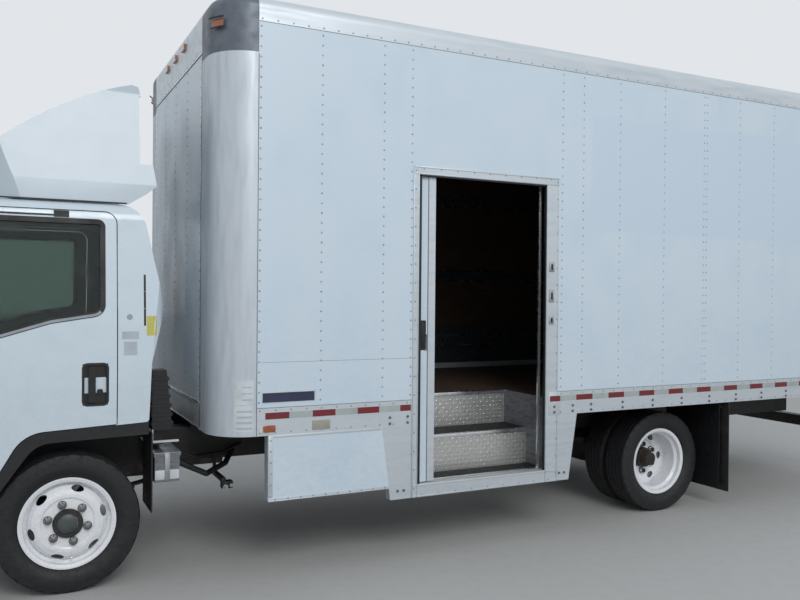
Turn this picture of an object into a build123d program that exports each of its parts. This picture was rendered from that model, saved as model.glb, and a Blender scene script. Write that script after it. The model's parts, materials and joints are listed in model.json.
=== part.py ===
from build123d import *
import math
import os

os.makedirs("parts", exist_ok=True)

# Box truck with a low cab over the engine and a walk-in side door, in millimetres.
# Working frame: X = 0 at the front axle with +X towards the rear, Y = 0 on the centre line with
# the side door at -Y, Z = 0 on the ground. The written parts are shifted so that X = 0 is midway
# between the two ends.

# Driving dimensions
FRONT_END = -1110
REAR_END = 6990
WHEELBASE = 4470
CLEAR = 0.3
SWING_GAP = 6

# Tyres and wheels
TYRE_R = 403
TYRE_W = 226
RIM_R = 250
FLANGE_R = 266
RIM_HALF = 86
WELL_R = 228
RIM_SHEET = 9
FRONT_TRACK_HALF = 839
REAR_TRACK_HALF = 929
DUAL_SPACING = 255
STUD_COUNT = 6
STUD_CIRCLE_R = 111.1
HUB_BORE_R = 82
KINGPIN_HALF = 740
KINGPIN_R = 17
BEAM_TOP = 398
AXLE_TUBE_HALF = 580
# Spring packs as (spans of the leaves, longest first; radius; leaf thickness; width; y of the middle)
FRONT_SPRING = ((1240, 900, 600), 2300, 14, 66, 390)
REAR_SPRING = ((1300, 1050, 800, 550), 3400, 15, 70, 480)
REAR_SPRING_LOW = 458
EYE_R = 20
FLAP_BEHIND = 530

# Ladder frame
RAIL_OUT = 425
RAIL_TOP = 830
RAIL_DEPTH = 220
RAIL_FLANGE = 70
RAIL_SHEET = 7
RAIL_FRONT = -960
RAIL_REAR = 6760

# Box body
BOX_HALF = 1219
BOX_FRONT = 775
BOX_LENGTH = 6096
BOX_TOP = 3550
WALL = 44
POST_R = 255
POST_FLANGE = 134
POST_WALL = 30
CAP_HEIGHT = 350
HEADER_HEIGHT = 296
RAIL_LOW = 881
RAIL_SEAM = 1050
TOP_RAIL_HEIGHT = 162
TOP_RAIL_REACH = 99
ROOF_R = 80
ROOF_REACH = 110
ROOF_SHEET = 12
BOW_HEIGHT = 38
BOW_WIDTH = 40
BOW_PITCH = 610
RAIL_WEB = 8
FLOOR_TOP = 1004
FLOOR_T = 34
FLOOR_REBATE = 8
SILL_HEIGHT = 65
BEAM_HEIGHT = 75
BEAM_WIDTH = 40
BEAM_PITCH = 305
TRACK_ZS = (1285, 1942, 2705)

# Walk-in side door
DOOR_FRONT = 2127
DOOR_BACK = 3165
DOOR_LOW = 487
FRAME_FRONT = 2085
FRAME_BACK = 3275
FRAME_HIGH = 2600
FRAME_HEAD = 55
FRAME_LOW = 400
FRAME_PROUD = 6
SKIN = 12
LEAF_T = 35
LEAF_WIDTH = 1090
LEAF_REST_BACK = 2262
LEAF_LOW = 495
LEAF_GAP = 25
POCKET_FRONT = 1106
POCKET_LOW = 478
POCKET_PANEL = 18
TREAD_HEIGHT = 748
RISER_1_DEPTH = 269
RISER_2_DEPTH = 569
# Lower corner plates as x at the top and x at the bottom, ahead of and behind the door frame
LEAD_PLATE = (1868, 1932)
TAIL_PLATE = (3458, 3385)
STEP_SHEET = 5

# Rear doors
REAR_POST = 84
REAR_HEADER = 220
REAR_FRAME_DEPTH = 71
REAR_DOOR_T = 40
REAR_HINGE_OUT = 26
REAR_HINGE_BACK = 44

# Cab
CAB_WALL = 45
CAB_HALF = 997
CAB_FRONT = -1085
CAB_BACK = 535
CAB_ROOF = 2275
ROOF_CROWN = 4
CAB_FLOOR_LOW = 660
CAB_DOOR_FRONT = -862
CAB_DOOR_BACK = 262
CAB_DOOR_TOP = 2222
CAB_HINGE_ZS = (780, 1270)
TUNNEL_HALF = 330
TUNNEL_TOP = 1120
BUMPER_TOP = 635
GLASS_INSET = 14
GLASS_T = 6
TILT_X = -1000
TILT_Z = 700
TILT_PIN_R = 12
TUNNEL_FRONT = -588
RECESS_HALF = 440
RECESS_TOP = 870
PANEL_T = 12
GRILLE_SLOTS = 4
GRILLE_LOW = 960
GRILLE_PITCH = 58
GRILLE_DEPTH = 14

# Values that follow from the ones above
ORIGIN_X = (FRONT_END + REAR_END) / 2
RAIL_BOTTOM = RAIL_TOP - RAIL_DEPTH
BOX_BACK = BOX_FRONT + BOX_LENGTH
BOX_SIDE_FRONT = BOX_FRONT + POST_R
BOX_IN = BOX_HALF - WALL
ROOF_EDGE = BOX_HALF - TOP_RAIL_REACH
ROOF_SEAM = BOX_TOP - TOP_RAIL_HEIGHT
POST_TOP = BOX_TOP - CAP_HEIGHT
HEADER_LOW = BOX_TOP - HEADER_HEIGHT
REAR_OPEN_HALF = BOX_HALF - REAR_POST
REAR_OPEN_TOP = BOX_TOP - REAR_HEADER
DOOR_HIGH = FRAME_HIGH - FRAME_HEAD
LEAF_HIGH = FRAME_HIGH - LEAF_GAP
RISER_1 = BOX_HALF - RISER_1_DEPTH
RISER_2 = BOX_HALF - RISER_2_DEPTH
SKIN_IN = BOX_HALF - SKIN
POST_Y = BOX_HALF - POST_R
SEAM_Y = POST_Y - POST_FLANGE
REAR_FRAME_X = BOX_BACK - REAR_FRAME_DEPTH
BEAM_LOW = RAIL_TOP + SILL_HEIGHT
FLOOR_LOW = BEAM_LOW + BEAM_HEIGHT
LEAF_Y = (-SKIN_IN + 7, -SKIN_IN + 7 + LEAF_T)
PANEL_Y = (LEAF_Y[1] + 7, LEAF_Y[1] + 7 + POCKET_PANEL)
WELL_X = (FRAME_FRONT + 75, DOOR_BACK + 35)


def block(x, y, z):
    """Block between two limits on each axis."""
    centre = Pos((x[0] + x[1]) / 2, (y[0] + y[1]) / 2, (z[0] + z[1]) / 2)
    return centre * Box(x[1] - x[0], y[1] - y[0], z[1] - z[0])


def face_of(corners):
    """Closed face from corners given as (a, b, corner radius)."""
    points = [(a, b) for a, b, radius in corners]
    radii = [radius for a, b, radius in corners]
    return make_face(FilletPolyline(*points, radius=radii, close=True))


def inset(corners, distance):
    """Corners (a, b, corner radius) of the outline that lies a distance inside another."""
    count = len(corners)
    doubled = 0
    sides = []
    for n in range(count):
        a, b = corners[n], corners[(n + 1) % count]
        doubled += a[0] * b[1] - b[0] * a[1]
        sides.append((Vector(a[0], a[1]), Vector(b[0] - a[0], b[1] - a[1]).normalized()))
    turn = 1 if doubled > 0 else -1
    shifted = [(start + Vector(-run.Y, run.X) * turn * distance, run) for start, run in sides]
    moved = []
    for n in range(count):
        (p, u), (q, v) = shifted[n - 1], shifted[n]
        cross = u.X * v.Y - u.Y * v.X
        step = ((q - p).X * v.Y - (q - p).Y * v.X) / cross
        corner = p + u * step
        radius = corners[n][2]
        if radius:
            radius = max(radius - distance, 4) if cross * turn > 0 else radius + distance
        moved.append((corner.X, corner.Y, radius))
    return moved


def along_x(face, x):
    """Prism of a face drawn in Y and Z, between two values of X."""
    return Pos(x[0], 0, 0) * extrude(Plane.YZ * face, x[1] - x[0])


def along_y(face, y):
    """Prism of a face drawn in X and Z, between two values of Y."""
    return Pos(0, y[1], 0) * extrude(Plane.XZ * face, y[1] - y[0])


def along_z(face, z):
    """Prism of a face drawn in X and Y, between two values of Z."""
    return Pos(0, 0, z[0]) * extrude(face, z[1] - z[0])


def rod_y(x, z, radius, y):
    """Round bar along Y."""
    return Pos(x, (y[0] + y[1]) / 2, z) * Rot(90, 0, 0) * Cylinder(radius, y[1] - y[0])


def rod_z(x, y, radius, z):
    """Round bar along Z."""
    return Pos(x, y, (z[0] + z[1]) / 2) * Cylinder(radius, z[1] - z[0])


def rod(start, end, radius):
    """Round bar between two points."""
    run = Vector(*end) - Vector(*start)
    return Plane(origin=start, z_dir=run) * Pos(0, 0, run.length / 2) * Cylinder(radius, run.length)


def flipped(shape):
    """Mirror image on the other side of the truck."""
    return mirror(shape, about=Plane.XZ)


def pair(shape):
    """A shape and its mirror image."""
    return [shape, flipped(shape)]


def export(name, *shapes):
    """One file for a node, moved to the origin midway along the truck."""
    solids = [solid for shape in shapes for solid in shape.solids()]
    export_step(Pos(-ORIGIN_X, 0, 0) * Compound(children=solids), f"parts/{name}.step")


def turned(profile):
    """Ring turned about the Y axis from corners given as (y, radius, corner radius)."""
    return revolve(Plane.YZ * face_of(profile), Axis.Y, 360)


def tyre():
    """Tyre with bead seats, bulged side walls and a flat tread."""
    half = [(75, RIM_R + CLEAR, 0), (75, 268, 4), (104, 285, 20), (TYRE_W / 2, 325, 40),
            (106, 382, 25), (88, TYRE_R, 10)]
    other = [(-y, r, fillet) for y, r, fillet in reversed(half)]
    return turned(half + other)


def rim():
    """Drop-centre rim of constant thickness."""
    t = RIM_SHEET
    seat = [(RIM_HALF, FLANGE_R), (78, FLANGE_R), (75, RIM_R), (46, RIM_R - 3), (32, WELL_R)]
    under = [(32, WELL_R - t), (49, RIM_R - 3 - t), (80, RIM_R - t), (RIM_HALF, FLANGE_R - t)]
    outer = [(y, r, 0) for y, r in seat] + [(-y, r, 0) for y, r in reversed(seat)]
    inner = [(-y, r, 0) for y, r in reversed(under)] + [(y, r, 0) for y, r in under]
    return turned(outer + inner)


def disc(profile, hole_r, hole_size, hole_turn):
    """Dished disc of constant thickness with a ring of hand holes."""
    t = RIM_SHEET
    face = [(y, r, 0) for y, r in profile] + [(y - t, r, 0) for y, r in reversed(profile)]
    plate = turned(face)
    depth = (min(y for y, r in profile) - 2 * t, max(y for y, r in profile) + t)
    cutter = along_y(Ellipse(*hole_size), depth)
    for n in range(STUD_COUNT):
        plate -= Rot(0, hole_turn + n * 360 / STUD_COUNT, 0) * Pos(0, 0, hole_r) * cutter
    return plate


def front_wheel(side):
    """Front wheel with its disc bulged outwards, its nuts and its hub cap, for side -1 or 1."""
    dish = [(30, WELL_R - RIM_SHEET), (50, 214), (72, 194), (80, 168), (80, 150), (74, 140),
            (74, HUB_BORE_R - 12)]
    wheel = rim() + disc(dish, 200, (36, 17), 15.5)
    wheel = wheel + turned([(40, 0, 0), (40, HUB_BORE_R, 0), (92, HUB_BORE_R - 4, 8), (92, 52, 0),
                            (104, 48, 4), (104, 0, 0)])
    for n in range(STUD_COUNT):
        nut = Rot(0, 44 + n * 360 / STUD_COUNT, 0) * Pos(0, 0, STUD_CIRCLE_R) * rod_y(0, 0, 19, (66, 92))
        wheel = wheel + nut
    if side < 0:
        wheel = flipped(wheel)
    return Pos(0, side * FRONT_TRACK_HALF, TYRE_R) * wheel


def rear_wheels(side):
    """Two wheels back to back on one hub, for side -1 or 1."""
    meet = DUAL_SPACING / 2
    dish = [(-28, WELL_R - RIM_SHEET), (-90, 216), (-106, 206), (-108, 150), (-meet + RIM_SHEET, 138),
            (-meet + RIM_SHEET, HUB_BORE_R - 12)]
    outer = rim() + disc(dish, 180, (32, 24), 30)
    pieces = Pos(0, meet, 0) * outer + Pos(0, -meet, 0) * flipped(outer)
    inner_end = AXLE_TUBE_HALF + CLEAR - (REAR_TRACK_HALF - meet)
    pieces = pieces + turned([(inner_end, 0, 0), (inner_end, 160, 0), (-40, 160, 0), (-40, HUB_BORE_R, 0),
                              (60, HUB_BORE_R - 6, 0), (60, 60, 0), (120, 52, 6), (120, 0, 0)])
    for n in range(STUD_COUNT):
        nut = Rot(0, n * 360 / STUD_COUNT, 0) * Pos(0, 0, STUD_CIRCLE_R) * rod_y(0, 0, 19, (4, 40))
        pieces = pieces + nut
    if side < 0:
        pieces = flipped(pieces)
    return Pos(WHEELBASE, side * (REAR_TRACK_HALF - meet), TYRE_R) * pieces


def rear_tyres(side):
    """The outer and the inner tyre, for side -1 or 1."""
    outer = Pos(WHEELBASE, side * REAR_TRACK_HALF, TYRE_R) * tyre()
    inner = Pos(WHEELBASE, side * (REAR_TRACK_HALF - DUAL_SPACING), TYRE_R) * tyre()
    return [outer, inner]


def knuckle(side):
    """Steering knuckle: fork about the kingpin, brake backing, spindle and steering arm."""
    fork_z = (TYRE_R - 85, TYRE_R + 85)
    body = block((-38, 38), (KINGPIN_HALF - 34, KINGPIN_HALF + 50), fork_z)
    body -= block((-60, 60), (KINGPIN_HALF - 60, KINGPIN_HALF + 34), (TYRE_R - 46, TYRE_R + 46))
    body -= rod_z(0, KINGPIN_HALF, KINGPIN_R + CLEAR, (fork_z[0] - 1, fork_z[1] + 1))
    spindle = rod_y(0, TYRE_R, 40, (KINGPIN_HALF + 49, FRONT_TRACK_HALF + 40 - CLEAR))
    plate = rod_y(0, TYRE_R, 150, (KINGPIN_HALF + 44, KINGPIN_HALF + 52))
    arm = block((30, 190), (KINGPIN_HALF - 30, KINGPIN_HALF - 5), (TYRE_R - 80, TYRE_R - 60))
    whole = body + spindle + plate + arm
    return whole if side > 0 else flipped(whole)


def spring_eye(spring, z_low):
    """Distance from the axle and height of a spring's eyes."""
    spans, radius, thickness = spring[:3]
    half_angle = spans[0] / 2 / radius
    reach = radius - (len(spans) - 0.5) * thickness
    return reach * math.sin(half_angle), z_low + radius - reach * math.cos(half_angle)


def leaf_pack(spring, x, z_low):
    """Stack of curved leaves on the right side, the longest on top and rolled into an eye at each end."""
    spans, radius, thickness, width, y = spring
    limits = (y - width / 2, y + width / 2)
    away, eye_z = spring_eye(spring, z_low)
    pack = rod_y(x - away, eye_z, EYE_R, limits) + rod_y(x + away, eye_z, EYE_R, limits)
    for n, span in enumerate(reversed(spans)):
        half_angle = math.degrees(span / 2 / radius)
        outer = radius - n * thickness
        inner = outer - thickness
        bottom = CenterArc((x, z_low + radius), outer, 270 - half_angle, 2 * half_angle)
        top = CenterArc((x, z_low + radius), inner, 270 - half_angle, 2 * half_angle)
        ends = [Line(bottom @ 0, top @ 0), Line(bottom @ 1, top @ 1)]
        pack += along_y(make_face([bottom, top] + ends), limits)
    return pack


def spring_hangers(spring, x, z_low):
    """Blocks under the right rail that the eyes of a spring sit against."""
    away, eye_z = spring_eye(spring, z_low)
    width, y = spring[3], spring[4]
    across = (y - width / 2, y + width / 2)
    hangers = Part()
    for place in (x - away, x + away):
        along = (place - 28, place + 28)
        hangers += block(along, across, (eye_z + EYE_R + CLEAR, RAIL_BOTTOM))
        if y > RAIL_OUT:
            hangers += block(along, (RAIL_OUT - 1, across[1]), (RAIL_BOTTOM - 1, RAIL_BOTTOM + 40))
    return hangers


def tilt_ears():
    """Ears at the front of the right rail with the pin that the cab tilts on."""
    ear = rod_y(TILT_X, TILT_Z, 24, (RAIL_OUT - 14, RAIL_OUT))
    ear += block((TILT_X, RAIL_FRONT), (RAIL_OUT - 14, RAIL_OUT), (TILT_Z - 24, TILT_Z + 24))
    return ear + rod_y(TILT_X, TILT_Z, TILT_PIN_R, (RAIL_OUT - 45, RAIL_OUT))


def frame_rails():
    """Two channel rails with their spring hangers and tilt ears."""
    out, inn = RAIL_OUT, RAIL_OUT - RAIL_FLANGE
    low, high, t = RAIL_BOTTOM, RAIL_TOP, RAIL_SHEET
    channel = face_of([(out, low, 0), (out, high, 0), (inn, high, 0), (inn, high - t, 0),
                       (out - t, high - t, 0), (out - t, low + t, 0), (inn, low + t, 0), (inn, low, 0)])
    rail = along_x(channel, (RAIL_FRONT, RAIL_REAR)) + tilt_ears()
    rail += spring_hangers(FRONT_SPRING, 0, BEAM_TOP)
    rail += spring_hangers(REAR_SPRING, WHEELBASE, REAR_SPRING_LOW)
    return pair(rail)


def cross_members():
    """Members between the webs of the two rails."""
    reach = RAIL_OUT - RAIL_SHEET
    # x of the middle, lowest z and highest z of each member
    members = [(-905, 620, 690), (1180, 700, 820), (1900, 700, 820), (2600, 700, 820), (3350, 700, 820),
               (WHEELBASE - 340, 700, 820), (WHEELBASE + 340, 700, 820), (5800, 700, 820), (6710, 640, 820)]
    return [block((x - 35, x + 35), (-reach, reach), (low, high)) for x, low, high in members]


def body_sills():
    """Long sills that carry the body on the frame rails."""
    return pair(block((BOX_FRONT + 30, REAR_FRAME_X), (RAIL_OUT - 60, RAIL_OUT), (RAIL_TOP, BEAM_LOW)))


def cross_beams():
    """Beams across the sills under the floor, cut back at the step well and the door pocket."""
    beams = []
    count = int((REAR_FRAME_X - BOX_FRONT - 120) / BEAM_PITCH)
    side = BOX_HALF - RAIL_WEB
    for n in range(count + 1):
        x = BOX_FRONT + 120 + n * BEAM_PITCH
        left = side
        if POCKET_FRONT - BEAM_WIDTH < x < WELL_X[0] + BEAM_WIDTH:
            left = -PANEL_Y[1]
        if WELL_X[0] - BEAM_WIDTH < x < WELL_X[1] + BEAM_WIDTH:
            left = RISER_2 - STEP_SHEET - 10
        if x < BOX_SIDE_FRONT + BEAM_WIDTH:
            left = POST_Y
        right = POST_Y if x < BOX_SIDE_FRONT + BEAM_WIDTH else side
        beams.append(block((x - BEAM_WIDTH / 2, x + BEAM_WIDTH / 2), (-left, right), (BEAM_LOW, FLOOR_LOW)))
    return beams


def floor_cut():
    """Space taken out of the floor by the step well and the door pocket."""
    outside = -BOX_HALF - 1
    z = (BEAM_LOW, FLOOR_TOP + 1)
    well = block((WELL_X[0] - 10, WELL_X[1] + 10), (outside, -RISER_2 + STEP_SHEET), z)
    pocket = block((POCKET_FRONT, WELL_X[0]), (outside, PANEL_Y[1]), z)
    jamb = block((WELL_X[1], FRAME_BACK), (outside, -BOX_IN), z)
    return well + pocket + jamb


def box_floor():
    """Plank floor rounded at its front corners, with a rebate on each side under the side rail."""
    r = POST_R - POST_WALL
    side = BOX_HALF - RAIL_WEB
    front = BOX_FRONT + POST_WALL
    inner = BOX_HALF - POST_WALL
    back = REAR_FRAME_X
    plan = face_of([(front, -inner, r), (front, inner, r), (back, inner, 0), (back, -inner, 0)])
    plan += Pos((back + BOX_SIDE_FRONT) / 2, 0) * Rectangle(back - BOX_SIDE_FRONT, 2 * side)
    floor = along_z(plan, (FLOOR_LOW, FLOOR_TOP)) - floor_cut()
    rebate = block((BOX_SIDE_FRONT, back), (BOX_IN, side), (FLOOR_TOP - FLOOR_REBATE, FLOOR_TOP))
    return floor - rebate - flipped(rebate)


def bottom_rail(x, thin=False):
    """Side rail under the right wall; thin where the door leaf slides behind it."""
    out, web, lip = BOX_HALF, BOX_HALF - RAIL_WEB, BOX_HALF - 34
    if thin:
        profile = [(web, RAIL_LOW), (out, RAIL_LOW), (out, RAIL_SEAM), (web, RAIL_SEAM)]
    else:
        ledge = FLOOR_TOP - FLOOR_REBATE
        profile = [(lip, RAIL_LOW), (out, RAIL_LOW), (out, RAIL_SEAM), (BOX_IN, RAIL_SEAM), (BOX_IN, ledge),
                   (web, ledge), (web, RAIL_LOW + RAIL_WEB), (lip, RAIL_LOW + RAIL_WEB)]
    return along_x(face_of([(y, z, 0) for y, z in profile]), x)


def bottom_rails():
    """Rails along both sides and across the front."""
    right = bottom_rail((BOX_SIDE_FRONT, REAR_FRAME_X))
    lead = flipped(bottom_rail((BOX_SIDE_FRONT, POCKET_FRONT)))
    pocket = flipped(bottom_rail((POCKET_FRONT, FRAME_FRONT), thin=True))
    back = flipped(bottom_rail((FRAME_BACK, REAR_FRAME_X)))
    front = block((BOX_FRONT, BOX_FRONT + POST_WALL), (-SEAM_Y, SEAM_Y), (RAIL_LOW, RAIL_SEAM))
    return [right, lead + pocket, back, front]


def left_wall():
    """Left wall with the door opening, and thin where the door leaf slides inside it."""
    wall = block((BOX_SIDE_FRONT, REAR_FRAME_X), (-BOX_HALF, -BOX_IN), (RAIL_SEAM, ROOF_SEAM))
    wall -= block((FRAME_FRONT, FRAME_BACK), (-BOX_HALF - 1, -BOX_IN + 1), (RAIL_SEAM - 1, FRAME_HIGH))
    wall -= block((POCKET_FRONT, FRAME_FRONT + 1), (-SKIN_IN, -BOX_IN + 1), (RAIL_SEAM - 1, FRAME_HIGH))
    return wall


def right_wall():
    """Plain right wall."""
    return block((BOX_SIDE_FRONT, REAR_FRAME_X), (BOX_IN, BOX_HALF), (RAIL_SEAM, ROOF_SEAM))


def front_wall():
    """Front wall between the corner posts."""
    return block((BOX_FRONT, BOX_FRONT + POST_WALL), (-SEAM_Y, SEAM_Y), (RAIL_SEAM, HEADER_LOW))


def post_plan(wall):
    """Plan of the right front corner: flat flange and quarter circle."""
    outer = [Line((BOX_FRONT, SEAM_Y), (BOX_FRONT, POST_Y)),
             CenterArc((BOX_SIDE_FRONT, POST_Y), POST_R, 90, 90)]
    inner = [Line((BOX_FRONT + wall, SEAM_Y), (BOX_FRONT + wall, POST_Y)),
             CenterArc((BOX_SIDE_FRONT, POST_Y), POST_R - wall, 90, 90)]
    ends = [Line((BOX_FRONT, SEAM_Y), (BOX_FRONT + wall, SEAM_Y)),
            Line((BOX_SIDE_FRONT, BOX_HALF), (BOX_SIDE_FRONT, BOX_HALF - wall))]
    return make_face(outer + inner + ends)


def corner_posts():
    """Rounded posts at the two front corners."""
    return pair(along_z(post_plan(POST_WALL), (RAIL_LOW, POST_TOP)))


def roof_edge(low, wall, lid, reach):
    """Section of the rounded roof edge as (distance in from the outer face, z, corner radius)."""
    return [(0, low, 0), (0, BOX_TOP, ROOF_R), (reach, BOX_TOP, 0), (reach, BOX_TOP - lid, 0),
            (wall, BOX_TOP - lid, ROOF_R - wall), (wall, low, 0)]


def corner_caps():
    """Domed castings that join the front header and the side rails above the posts."""
    wall = POST_WALL
    section = [(POST_R - a, z, r) for a, z, r in roof_edge(POST_TOP, wall, wall, POST_R)]
    dome = revolve(Plane.XZ * face_of(section), Axis.Z, 90)
    dome = Pos(BOX_SIDE_FRONT, POST_Y, 0) * Rot(0, 0, 90) * dome
    flange = [(BOX_FRONT + a, z, r) for a, z, r in roof_edge(POST_TOP, wall, wall, ROOF_REACH)]
    return pair(dome + along_y(face_of(flange), (SEAM_Y, POST_Y)))


def top_rails():
    """Curved rails along both roof edges and the header across the front."""
    sheet = ROOF_SHEET
    side = [(BOX_HALF - a, z, r) for a, z, r in roof_edge(ROOF_SEAM, sheet, sheet, TOP_RAIL_REACH)]
    rail = along_x(face_of(side), (BOX_SIDE_FRONT, REAR_FRAME_X))
    front = [(BOX_FRONT + a, z, r) for a, z, r in roof_edge(HEADER_LOW, POST_WALL, sheet, ROOF_REACH)]
    return pair(rail) + [along_y(face_of(front), (-SEAM_Y, SEAM_Y))]


def box_roof():
    """Roof sheet between the top rails and the corner caps."""
    z = (BOX_TOP - ROOF_SHEET, BOX_TOP)
    sheet = block((BOX_SIDE_FRONT, REAR_FRAME_X), (-ROOF_EDGE, ROOF_EDGE), z)
    return sheet + block((BOX_FRONT + ROOF_REACH, BOX_SIDE_FRONT), (-POST_Y, POST_Y), z)


def roof_bows():
    """Bows across the body under the roof sheet."""
    z = (BOX_TOP - ROOF_SHEET - BOW_HEIGHT, BOX_TOP - ROOF_SHEET)
    bows = []
    for n in range(int((REAR_FRAME_X - BOX_SIDE_FRONT) / BOW_PITCH)):
        x = BOX_SIDE_FRONT + (n + 0.5) * BOW_PITCH
        bows.append(block((x - BOW_WIDTH / 2, x + BOW_WIDTH / 2), (-ROOF_EDGE, ROOF_EDGE), z))
    return bows


def rear_hinge_zs():
    """Heights of the hinges of a rear door."""
    span = REAR_OPEN_TOP - FLOOR_TOP
    return [FLOOR_TOP + span * share for share in (0.08, 0.36, 0.64, 0.92)]


def rear_frame():
    """Rear portal with the hinge lugs and pins of both doors."""
    x = (REAR_FRAME_X, BOX_BACK)
    side = BOX_HALF
    outline = [(-side, RAIL_LOW, 0), (-side, BOX_TOP, ROOF_R), (side, BOX_TOP, ROOF_R), (side, RAIL_LOW, 0)]
    whole = along_x(face_of(outline), x)
    whole -= block((x[0] - 1, x[1] + 1), (-REAR_OPEN_HALF, REAR_OPEN_HALF), (FLOOR_TOP, REAR_OPEN_TOP))
    axis_x, axis_y = BOX_BACK + REAR_HINGE_BACK, BOX_HALF + REAR_HINGE_OUT
    lugs = Part()
    for z in rear_hinge_zs():
        for low in (z - 50, z + 30):
            lugs += block((BOX_BACK - 30, axis_x), (BOX_HALF, axis_y), (low, low + 20))
            lugs += rod_z(axis_x, axis_y, 14, (low, low + 20))
        lugs += rod_z(axis_x, axis_y, 7, (z - 50, z + 50))
    return whole + lugs + flipped(lugs)


def rear_door(side):
    """Swing door in the portal with its hinge straps and lock rod, for side -1 or 1."""
    gap = SWING_GAP
    x = (BOX_BACK - REAR_DOOR_T, BOX_BACK)
    panel = block(x, (gap / 2, REAR_OPEN_HALF - gap), (FLOOR_TOP + gap, REAR_OPEN_TOP - gap))
    axis_x, axis_y = BOX_BACK + REAR_HINGE_BACK, BOX_HALF + REAR_HINGE_OUT
    for z in rear_hinge_zs():
        strap = block((x[1], x[1] + 16), (REAR_OPEN_HALF - 260, REAR_OPEN_HALF - 15), (z - 22, z + 22))
        strap += block((x[1] + 6, x[1] + 16), (REAR_OPEN_HALF - 16, axis_y - 20), (z - 22, z + 22))
        arm = block((x[1] + 6, axis_x), (axis_y - 34, axis_y - 20), (z - 22, z + 22))
        link = block((axis_x - 10, axis_x + 10), (axis_y - 34, axis_y), (z - 22, z + 22))
        barrel = rod_z(axis_x, axis_y, 14, (z - 22, z + 22))
        panel += strap + arm + link + barrel
        panel -= rod_z(axis_x, axis_y, 7 + CLEAR, (z - 60, z + 60))
    rod = rod_z(x[1] + 22, 170, 13, (FLOOR_TOP + 20, REAR_OPEN_TOP - 20))
    for share in (0.03, 0.27, 0.5, 0.73, 0.97):
        z = FLOOR_TOP + share * (REAR_OPEN_TOP - FLOOR_TOP)
        rod += block((x[1], x[1] + 30), (145, 195), (z - 30, z + 30))
    rod += block((x[1] + 8, x[1] + 30), (180, 480), (1530, 1565))
    rod += block((x[1], x[1] + 12), (440, 500), (1500, 1595))
    whole = panel + rod
    return whole if side > 0 else flipped(whole)


def rear_bumper():
    """Underride bar on two posts below the rear sill."""
    bar = block((REAR_END - 100, REAR_END), (-1000, 1000), (460, 560))
    post = block((REAR_FRAME_X, REAR_END - 100), (560, 620), (460, RAIL_LOW))
    return bar + post + flipped(post)


def load_tracks():
    """Slotted lashing tracks on the inner walls: three on the right and three behind the side door."""
    tracks = []
    for z in TRACK_ZS:
        tracks.append(block((BOX_SIDE_FRONT, REAR_FRAME_X), (BOX_IN - 12, BOX_IN), (z - 60, z + 60)))
        tracks.append(block((FRAME_BACK + 40, REAR_FRAME_X), (-BOX_IN, -BOX_IN + 12), (z - 60, z + 60)))
    return tracks


def side_door_frame():
    """Frame round the side door with its sill, its corner plates and its top track."""
    y = (-BOX_HALF - FRAME_PROUD, -SKIN_IN)
    frame = block((FRAME_FRONT, FRAME_BACK), y, (FRAME_LOW, FRAME_HIGH))
    frame -= block((DOOR_FRONT, DOOR_BACK), (y[0] - 1, y[1] + 1), (DOOR_LOW, DOOR_HIGH))
    plate_y = (-BOX_HALF, -SKIN_IN)
    for edge, (high, low) in ((FRAME_FRONT, LEAD_PLATE), (FRAME_BACK, TAIL_PLATE)):
        plate = [(edge, RAIL_LOW, 0), (high, RAIL_LOW, 0), (low, FRAME_LOW, 0), (edge, FRAME_LOW, 0)]
        frame += along_y(face_of(plate), plate_y)
    frame += block((LEAD_PLATE[1], TAIL_PLATE[1]), (-SKIN_IN, -SKIN_IN + 55), (FRAME_LOW, POCKET_LOW))
    frame += block((FRAME_FRONT, WELL_X[1] + 10), (-SKIN_IN, -SKIN_IN + 50), (POCKET_LOW, DOOR_LOW))
    back = WELL_X[1] + STEP_SHEET
    frame += block((back, FRAME_BACK), (-SKIN_IN, -BOX_IN), (POCKET_LOW, FRAME_HIGH))
    frame += block((FRAME_FRONT, back), (LEAF_Y[0] + 10, LEAF_Y[1] - 10), (LEAF_HIGH + 7, FRAME_HIGH))
    frame += block((FRAME_FRONT, back), (-SKIN_IN, LEAF_Y[1] - 10), (FRAME_HIGH - 10, FRAME_HIGH))
    return frame


def door_pocket():
    """Box inside and below the wall that the door leaf slides into."""
    low = POCKET_LOW
    high_x, low_x = LEAD_PLATE
    tip_x = high_x + (low_x - high_x) * (RAIL_LOW - low) / (RAIL_LOW - FRAME_LOW)
    front = POCKET_FRONT
    outline = [(front, low, 0), (front, RAIL_LOW, 0), (high_x, RAIL_LOW, 0), (tip_x, low, 0)]
    skirt = along_y(face_of(outline), (-BOX_HALF, -SKIN_IN))
    inner = block((POCKET_FRONT, FRAME_FRONT), PANEL_Y, (low, FRAME_HIGH))
    base = block((POCKET_FRONT, FRAME_FRONT), (-SKIN_IN, PANEL_Y[1]), (low, DOOR_LOW))
    inner += block((POCKET_FRONT, FRAME_FRONT), (LEAF_Y[0] + 10, LEAF_Y[1] - 10), (LEAF_HIGH + 7, FRAME_HIGH))
    inner += block((POCKET_FRONT, FRAME_FRONT), (LEAF_Y[0] + 10, PANEL_Y[1]), (FRAME_HIGH - 10, FRAME_HIGH))
    nose = block((POCKET_FRONT, POCKET_FRONT + 14), (-SKIN_IN, PANEL_Y[1]), (low, FRAME_HIGH))
    nose -= block((POCKET_FRONT - 1, POCKET_FRONT + 15), (-SKIN_IN - 1, -SKIN_IN + 4), (RAIL_LOW, RAIL_SEAM))
    return skirt + base + inner + nose


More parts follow.
